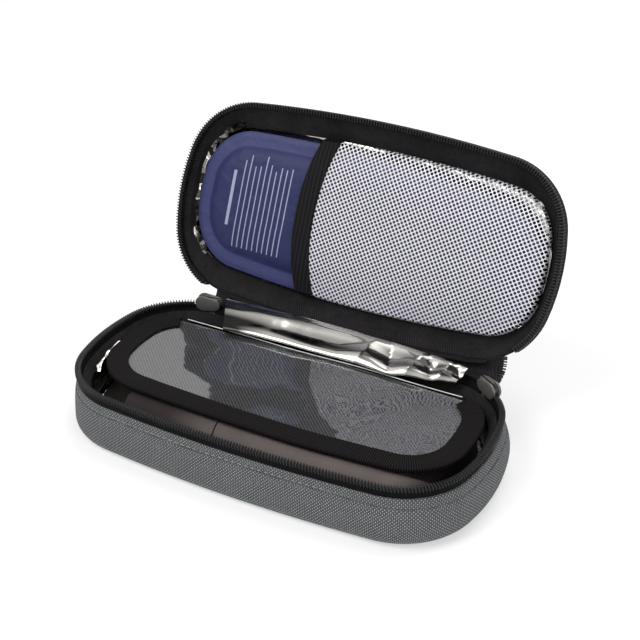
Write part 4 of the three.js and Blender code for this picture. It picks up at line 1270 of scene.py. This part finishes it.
class CASE_OT_lid_lining(bpy.types.Operator):
    """Black facing and creased foil inside the lid"""

    bl_idname = "medicine_case.lid_lining"
    bl_label = "Lid lining"

    def execute(self, context):
        z, opening = sizes().zip_height, opening_outline()
        self.facing(case_outline(), opening, z)
        self.foil(opening, z)
        edge = [(3.4, 8.2), (2.2, 9.0), (0.6, 9.7), (-0.6, 10.4), (-1.6, 11.2), (-2.4, 12.1)]
        # The fringe's facets are painted nearly black, as painted shade, with rare painted glints.
        crumpled_edge("lid_foil_fringe", "lid", opening, in_mm(edge, z), (118, 262), 0.02)
        return {"FINISHED"}

    def facing(self, case, opening, z):
        """Black padded facing: its outer points follow the case's outline and its inner ones the opening's.

        The outer points are swept a metre out, a step apart, and then set on the case's outline by that mark.
        """
        at_rim = [(-1.95, 5.6), (-1.95, 4.5), (-0.45, 4.5), (-0.5, 4.15), (-1.95, 3.95), (-4.45, 5.4)]
        at_opening = [(1.2, 9.9), (0.0, 10.55), (0.0, 11.2), (1.0, 11.25)]
        mark, step = 1.0, 0.1
        marks = [(mark + step * i, z + d * MM) for i, (_, d) in enumerate(at_rim)]
        bm = sweep(opening, marks + in_mm(at_opening, z), fine=0.5)
        run = bm.verts.layers.float["run"]
        for vert in bm.verts:
            angle = opening.facing(vert.co.x, vert.co.y)
            reach = -opening.inside(vert.co.x, vert.co.y)
            if reach > mark / 2:
                index = round((reach - mark) / step)
                vert.co = case.point(angle, at_rim[index][0] * MM, vert.co.z)
                vert[run] = index * MM
            else:
                vert[run] = (11 - reach / MM) * MM
                vert.co += 0.35 * MM * noise.noise_vector(vert.co * 70)
        make_piece("lid_facing_tape", bm, "lid", herringbone_tape(), "black_cloth", "lid_facing",
                   outline=case)

    def foil(self, opening, z):
        """Creased foil floor, which stands up as a soft ridge where the gel pack leaves it bare."""
        face = [(out, 12.3) for out in (-11.5, -9.6, -7.8, -6.2, -4.8, -3.6, -2.6)]
        face += [(-1.7, 12.2), (-0.9, 11.9), (-0.3, 11.5)]
        back = [(out - 0.02, up + 0.4) for out, up in face[::-1]]
        bm = sweep(opening, in_mm(face + back, z), closed=False, fine=0.35)
        for vert in bm.verts:
            x, y = vert.co.x, vert.co.y
            bare = -pack_inside(x, y) - 1.0 * MM
            crease = 0.75 + 0.6 * noise.noise(Vector((x * 90, y * 90, 1.0)))
            vert.co.z -= 4.6 * MM * unit(bare / (3 * MM)) * unit(opening.inside(x, y) / (2 * MM)) * crease
        make_piece("lid_foil_lining", bm, "lid", metallised_foil("_lid", 8.0, 0.6, 0.85), "foil", "lid_foil",
                   outline=opening)


def pack_push(x):
    """How the net pushes the pack over at a place along it: the factor on its width, and its shift."""
    share = (x + 45 * MM) / (95 * MM)
    return 1.075 - 0.075 * share, 0.75 * MM + 2.5 * MM * share


def pack_inside(x, y):
    """Distance inside the pack's pushed outline, negative outside."""
    factor, shift = pack_push(x)
    return pack_outline().inside(x + 1.2 * MM, (y - shift) / factor)


# Depth of the net below the zip plane against the distance inside the opening, in millimetres
NET_DEPTHS = [(0, 10.1), (1.2, 5.86), (7.5, 4.24), (10, 3.74), (15, 2.93), (25, 2.42), (45, 2.3)]
BAND_WIDTH = 9.8 * MM


def pocket_depth(x, y, opening):
    """Depth of the net below the zip plane."""
    inset = max(0.0, opening.inside(x, y)) / MM
    for (a, da), (b, db) in zip(NET_DEPTHS, NET_DEPTHS[1:]):
        if inset <= b:
            return (da + (db - da) * (inset - a) / (b - a)) * MM
    return NET_DEPTHS[-1][1] * MM


def band_edge(y, side):
    """Edge of the elastic band across the lid, bowed towards the pocket's mouth."""
    share = y / (opening_width() / 2)
    bow = 7 * MM if share > 0 else 5.6 * MM
    return -34.8 * MM + bow * share**2 + side * BAND_WIDTH


class CASE_OT_mesh_pocket(bpy.types.Operator):
    """Knitted net over the gel pack, and the elastic band at its mouth"""

    bl_idname = "medicine_case.mesh_pocket"
    bl_label = "Mesh pocket"

    def execute(self, context):
        self.net(sizes(), opening_outline())
        self.band(sizes(), opening_outline())
        return {"FINISHED"}

    def hole(self, pitch):
        """One square of the net: yarn round a hole with its corners cut."""
        bm = bmesh.new()
        bmesh.ops.create_grid(bm, x_segments=1, y_segments=1, size=pitch / 2)
        bmesh.ops.subdivide_edges(bm, edges=list(bm.edges), cuts=1)
        face = list(bm.faces)
        bmesh.ops.inset_individual(bm, faces=face, thickness=0.2 * MM, use_even_offset=True)
        for vert in face[0].verts:
            vert.co = vert.co.normalized() * 0.425 * pitch
        bmesh.ops.delete(bm, geom=face, context="FACES_ONLY")
        return bm

    def net(self, s, opening):
        turn = Matrix.Rotation(math.radians(-34), 4, "Z")
        middle, reach = Vector((32 * MM, 0, 0)), range(-45, 46)
        places = []
        for row in reach:
            for column in reach:
                place = turn @ Vector((column * s.net_pitch, row * s.net_pitch, 0)) + middle
                past_band = place.x > band_edge(place.y, 1) - 1.5 * MM
                if past_band and opening.inside(place.x, place.y) > -0.4 * MM:
                    places.append(Matrix.Translation(place) @ turn)
        bm = repeated(self.hole(s.net_pitch), places)
        bmesh.ops.remove_doubles(bm, verts=bm.verts, dist=0.05 * MM)
        for vert in bm.verts:
            hold_inside(vert, opening, 0.3 * MM)
            vert.co.z = s.zip_height + pocket_depth(vert.co.x, vert.co.y, opening)
        make_piece("pocket_net", bm, "lid", net_yarn(), "white_net", "mesh_net", wall=0.22 * MM, sharp=60)

    def band(self, s, opening):
        half = opening_width() / 2 - 0.6 * MM
        bm = grid(10, 60)
        run = bm.verts.layers.float["run"]
        for vert in bm.verts:
            y, side = vert.co.y * half, (vert.co.x + 1) / 2
            x = band_edge(y, side)
            rise = 0.35 * MM * (1 - (2 * side - 1) ** 4)
            vert.co = (x, y, s.zip_height + pocket_depth(x, y, opening) - 0.1 * MM - rise)
            vert[run] = y
        make_piece("pocket_elastic", bm, "lid", elastic_band(), "black_cloth", "mesh_band", wall=0.7 * MM,
                   sharp=50)


class CASE_OT_gel_pack(bpy.types.Operator):
    """Sealed gel pack: a flat welded rim round a filled, gently puckered pillow"""

    bl_idname = "medicine_case.gel_pack"
    bl_label = "Gel pack"

    def execute(self, context):
        s, outline = sizes(), pack_outline()
        weld, run_in, crown = 6.5 * MM, 17.5 * MM, 3.5 * MM
        shares = [(0, 0), (0.05, 0.26), (0.14, 0.55), (0.27, 0.75), (0.43, 0.88), (0.7, 0.97), (1, 1)]
        upper = [(-weld - i * run_in, 0.6 * MM + h * crown) for i, h in shares[::-1]]
        upper += [(-weld + 0.2 * MM, 0.55 * MM), (-weld / 2, 0.5 * MM), (-0.3 * MM, 0.5 * MM), (0, 0.2 * MM)]
        bm = sweep(outline, upper + [(o, -h) for o, h in upper[::-1]], closed=False, fine=0.6)
        tone = bm.verts.layers.float["tone"]
        for vert in bm.verts:
            x, y, z = vert.co
            inset = outline.inside(x, y) - weld
            vert[tone] = unit(inset / (2.2 * MM))
            near = math.exp(-(((inset - 3 * MM) / (3.5 * MM)) ** 2))
            along = outline.run(outline.facing(x, y))
            pucker = noise.noise(Vector((along * 120, (inset + weld) * 40, 2.0)))
            vert.co.z += 0.55 * MM * near * pucker * math.copysign(1, z)
            vert.co.z += 0.35 * MM * noise.noise(Vector((x * 30, y * 30, 9.0)))
        for vert in bm.verts:
            vert.co += Vector((-1.2 * MM, 0, s.zip_height + 7.9 * MM))
            factor, shift = pack_push(vert.co.x)
            vert.co.y = vert.co.y * factor + shift
        piece = make_piece("gel_pack_film", bm, "gel_pack", gel_film(), "gel_film", "gel_pack", sharp=60)
        return {"FINISHED"}


# Stage


def background_seen(tree):
    """1 for rays that show the background to the camera, a mirror or glass, and 0 for those that give light."""
    rays = add_node(tree, "LightPath").node.outputs
    direct = ("MAXIMUM", rays["Is Camera Ray"], rays["Is Glossy Ray"])
    return add_node(tree, ("MAXIMUM", direct, rays["Is Transmission Ray"]))


class CASE_OT_stage(bpy.types.Operator):
    """White floor, soft studio lamps and the photograph's camera"""

    bl_idname = "medicine_case.stage"
    bl_label = "Stage"

    def execute(self, context):
        self.floor()
        self.world()
        self.lamps()
        self.camera()
        context.scene.view_settings.view_transform = "Standard"
        return {"FINISHED"}

    def floor(self):
        """White paper, which glows a little where it is seen, so that it goes over into the background."""
        material = bpy.data.materials.new("white_paper_sweep")
        tree = new_tree(material)
        paper = add_node(tree, "BsdfPrincipled", {"Base Color": (0.9, 0.9, 0.9, 1), "Roughness": 0.9})
        glow = add_node(tree, "Emission", {"Color": (1, 1, 1, 1), "Strength": 1.0})
        mix = add_node(tree, "MixShader", (("MULTIPLY", background_seen(tree), 0.45), paper, glow))
        add_node(tree, "OutputMaterial", (mix,))
        bm = bmesh.new()
        bmesh.ops.create_grid(bm, x_segments=1, y_segments=1, size=6)
        mesh = bpy.data.meshes.new("floor")
        bm.to_mesh(mesh)
        bm.free()
        mesh.materials.append(material)
        add_object("floor", mesh)

    def world(self):
        world = bpy.data.worlds.new("studio")
        bpy.context.scene.world = world
        tree = new_tree(world)
        strength = ("MULTIPLY_ADD", background_seen(tree), 0.58, 0.42)
        add_node(tree, "OutputWorld", (add_node(tree, "Background", ((1, 1, 1, 1), strength)),))

    def lamps(self):
        aim = Vector((0, 0.02, 0.04))
        for name, place, size, power in (
            ("key_softbox", (-0.5, -0.55, 0.95), 0.7, 9.0),
            ("fill_softbox", (0.75, -0.5, 0.6), 0.6, 4.0),
            ("top_softbox", (0.1, 0.5, 1.1), 0.8, 8.5),
        ):
            data = bpy.data.lights.new(name, "AREA")
            data.size, data.energy = size, power
            lamp = add_object(name, data)
            lamp.location = place
            lamp.rotation_euler = (aim - Vector(place)).to_track_quat("-Z", "Y").to_euler()

    def camera(self):
        """Camera fitted to the photograph: focal length of 1350 pixels, on a frame of 640."""
        data = bpy.data.cameras.new("camera")
        data.sensor_width, data.lens = 36, 1350 / 640 * 36
        data.clip_start, data.clip_end = 0.01, 50
        camera = add_object("camera", data)
        place = Vector((243.78, -452.95, 370.67)) * MM
        right, up = (0.89002, 0.45566, 0.01522), (-0.24488, 0.44961, 0.859)
        camera.matrix_world = Matrix.Translation(place) @ turned(right, up, (0.38457, -0.76826, 0.51174))
        bpy.context.scene.camera = camera


# Add-on


BUILDERS = (
    CASE_OT_stage,
    CASE_OT_base_shell,
    CASE_OT_base_facing,
    CASE_OT_base_foil,
    CASE_OT_zip,
    CASE_OT_sliders,
    CASE_OT_pen_bed,
    CASE_OT_flap,
    CASE_OT_hinge_web,
    CASE_OT_hinge_lining,
    CASE_OT_lid_shell,
    CASE_OT_lid_lining,
    CASE_OT_mesh_pocket,
    CASE_OT_gel_pack,
)


class CASE_PT_panel(bpy.types.Panel):
    """Lists the builders of the medicine case"""

    bl_idname = "CASE_PT_panel"
    bl_label = "Medicine Case"
    bl_space_type = "VIEW_3D"
    bl_region_type = "UI"
    bl_category = "Medicine Case"

    def draw(self, context):
        for group in (context.scene.medicine_case_sizes, context.scene.medicine_case_colours):
            for name in group.__annotations__:
                self.layout.prop(group, name)
        for builder in BUILDERS:
            self.layout.operator(builder.bl_idname)


CLASSES = (CaseSizes, CaseColours, *BUILDERS, CASE_PT_panel)


def register():
    for cls in CLASSES:
        bpy.utils.register_class(cls)
    bpy.types.Scene.medicine_case_sizes = PointerProperty(type=CaseSizes)
    bpy.types.Scene.medicine_case_colours = PointerProperty(type=CaseColours)


def unregister():
    del bpy.types.Scene.medicine_case_colours
    del bpy.types.Scene.medicine_case_sizes
    for cls in reversed(CLASSES):
        bpy.utils.unregister_class(cls)


def main():
    register()
    noise.seed_set(SEED)
    for builder in BUILDERS:
        group, name = builder.bl_idname.split(".")
        getattr(getattr(bpy.ops, group), name)()


if __name__ == "__main__":
    main()
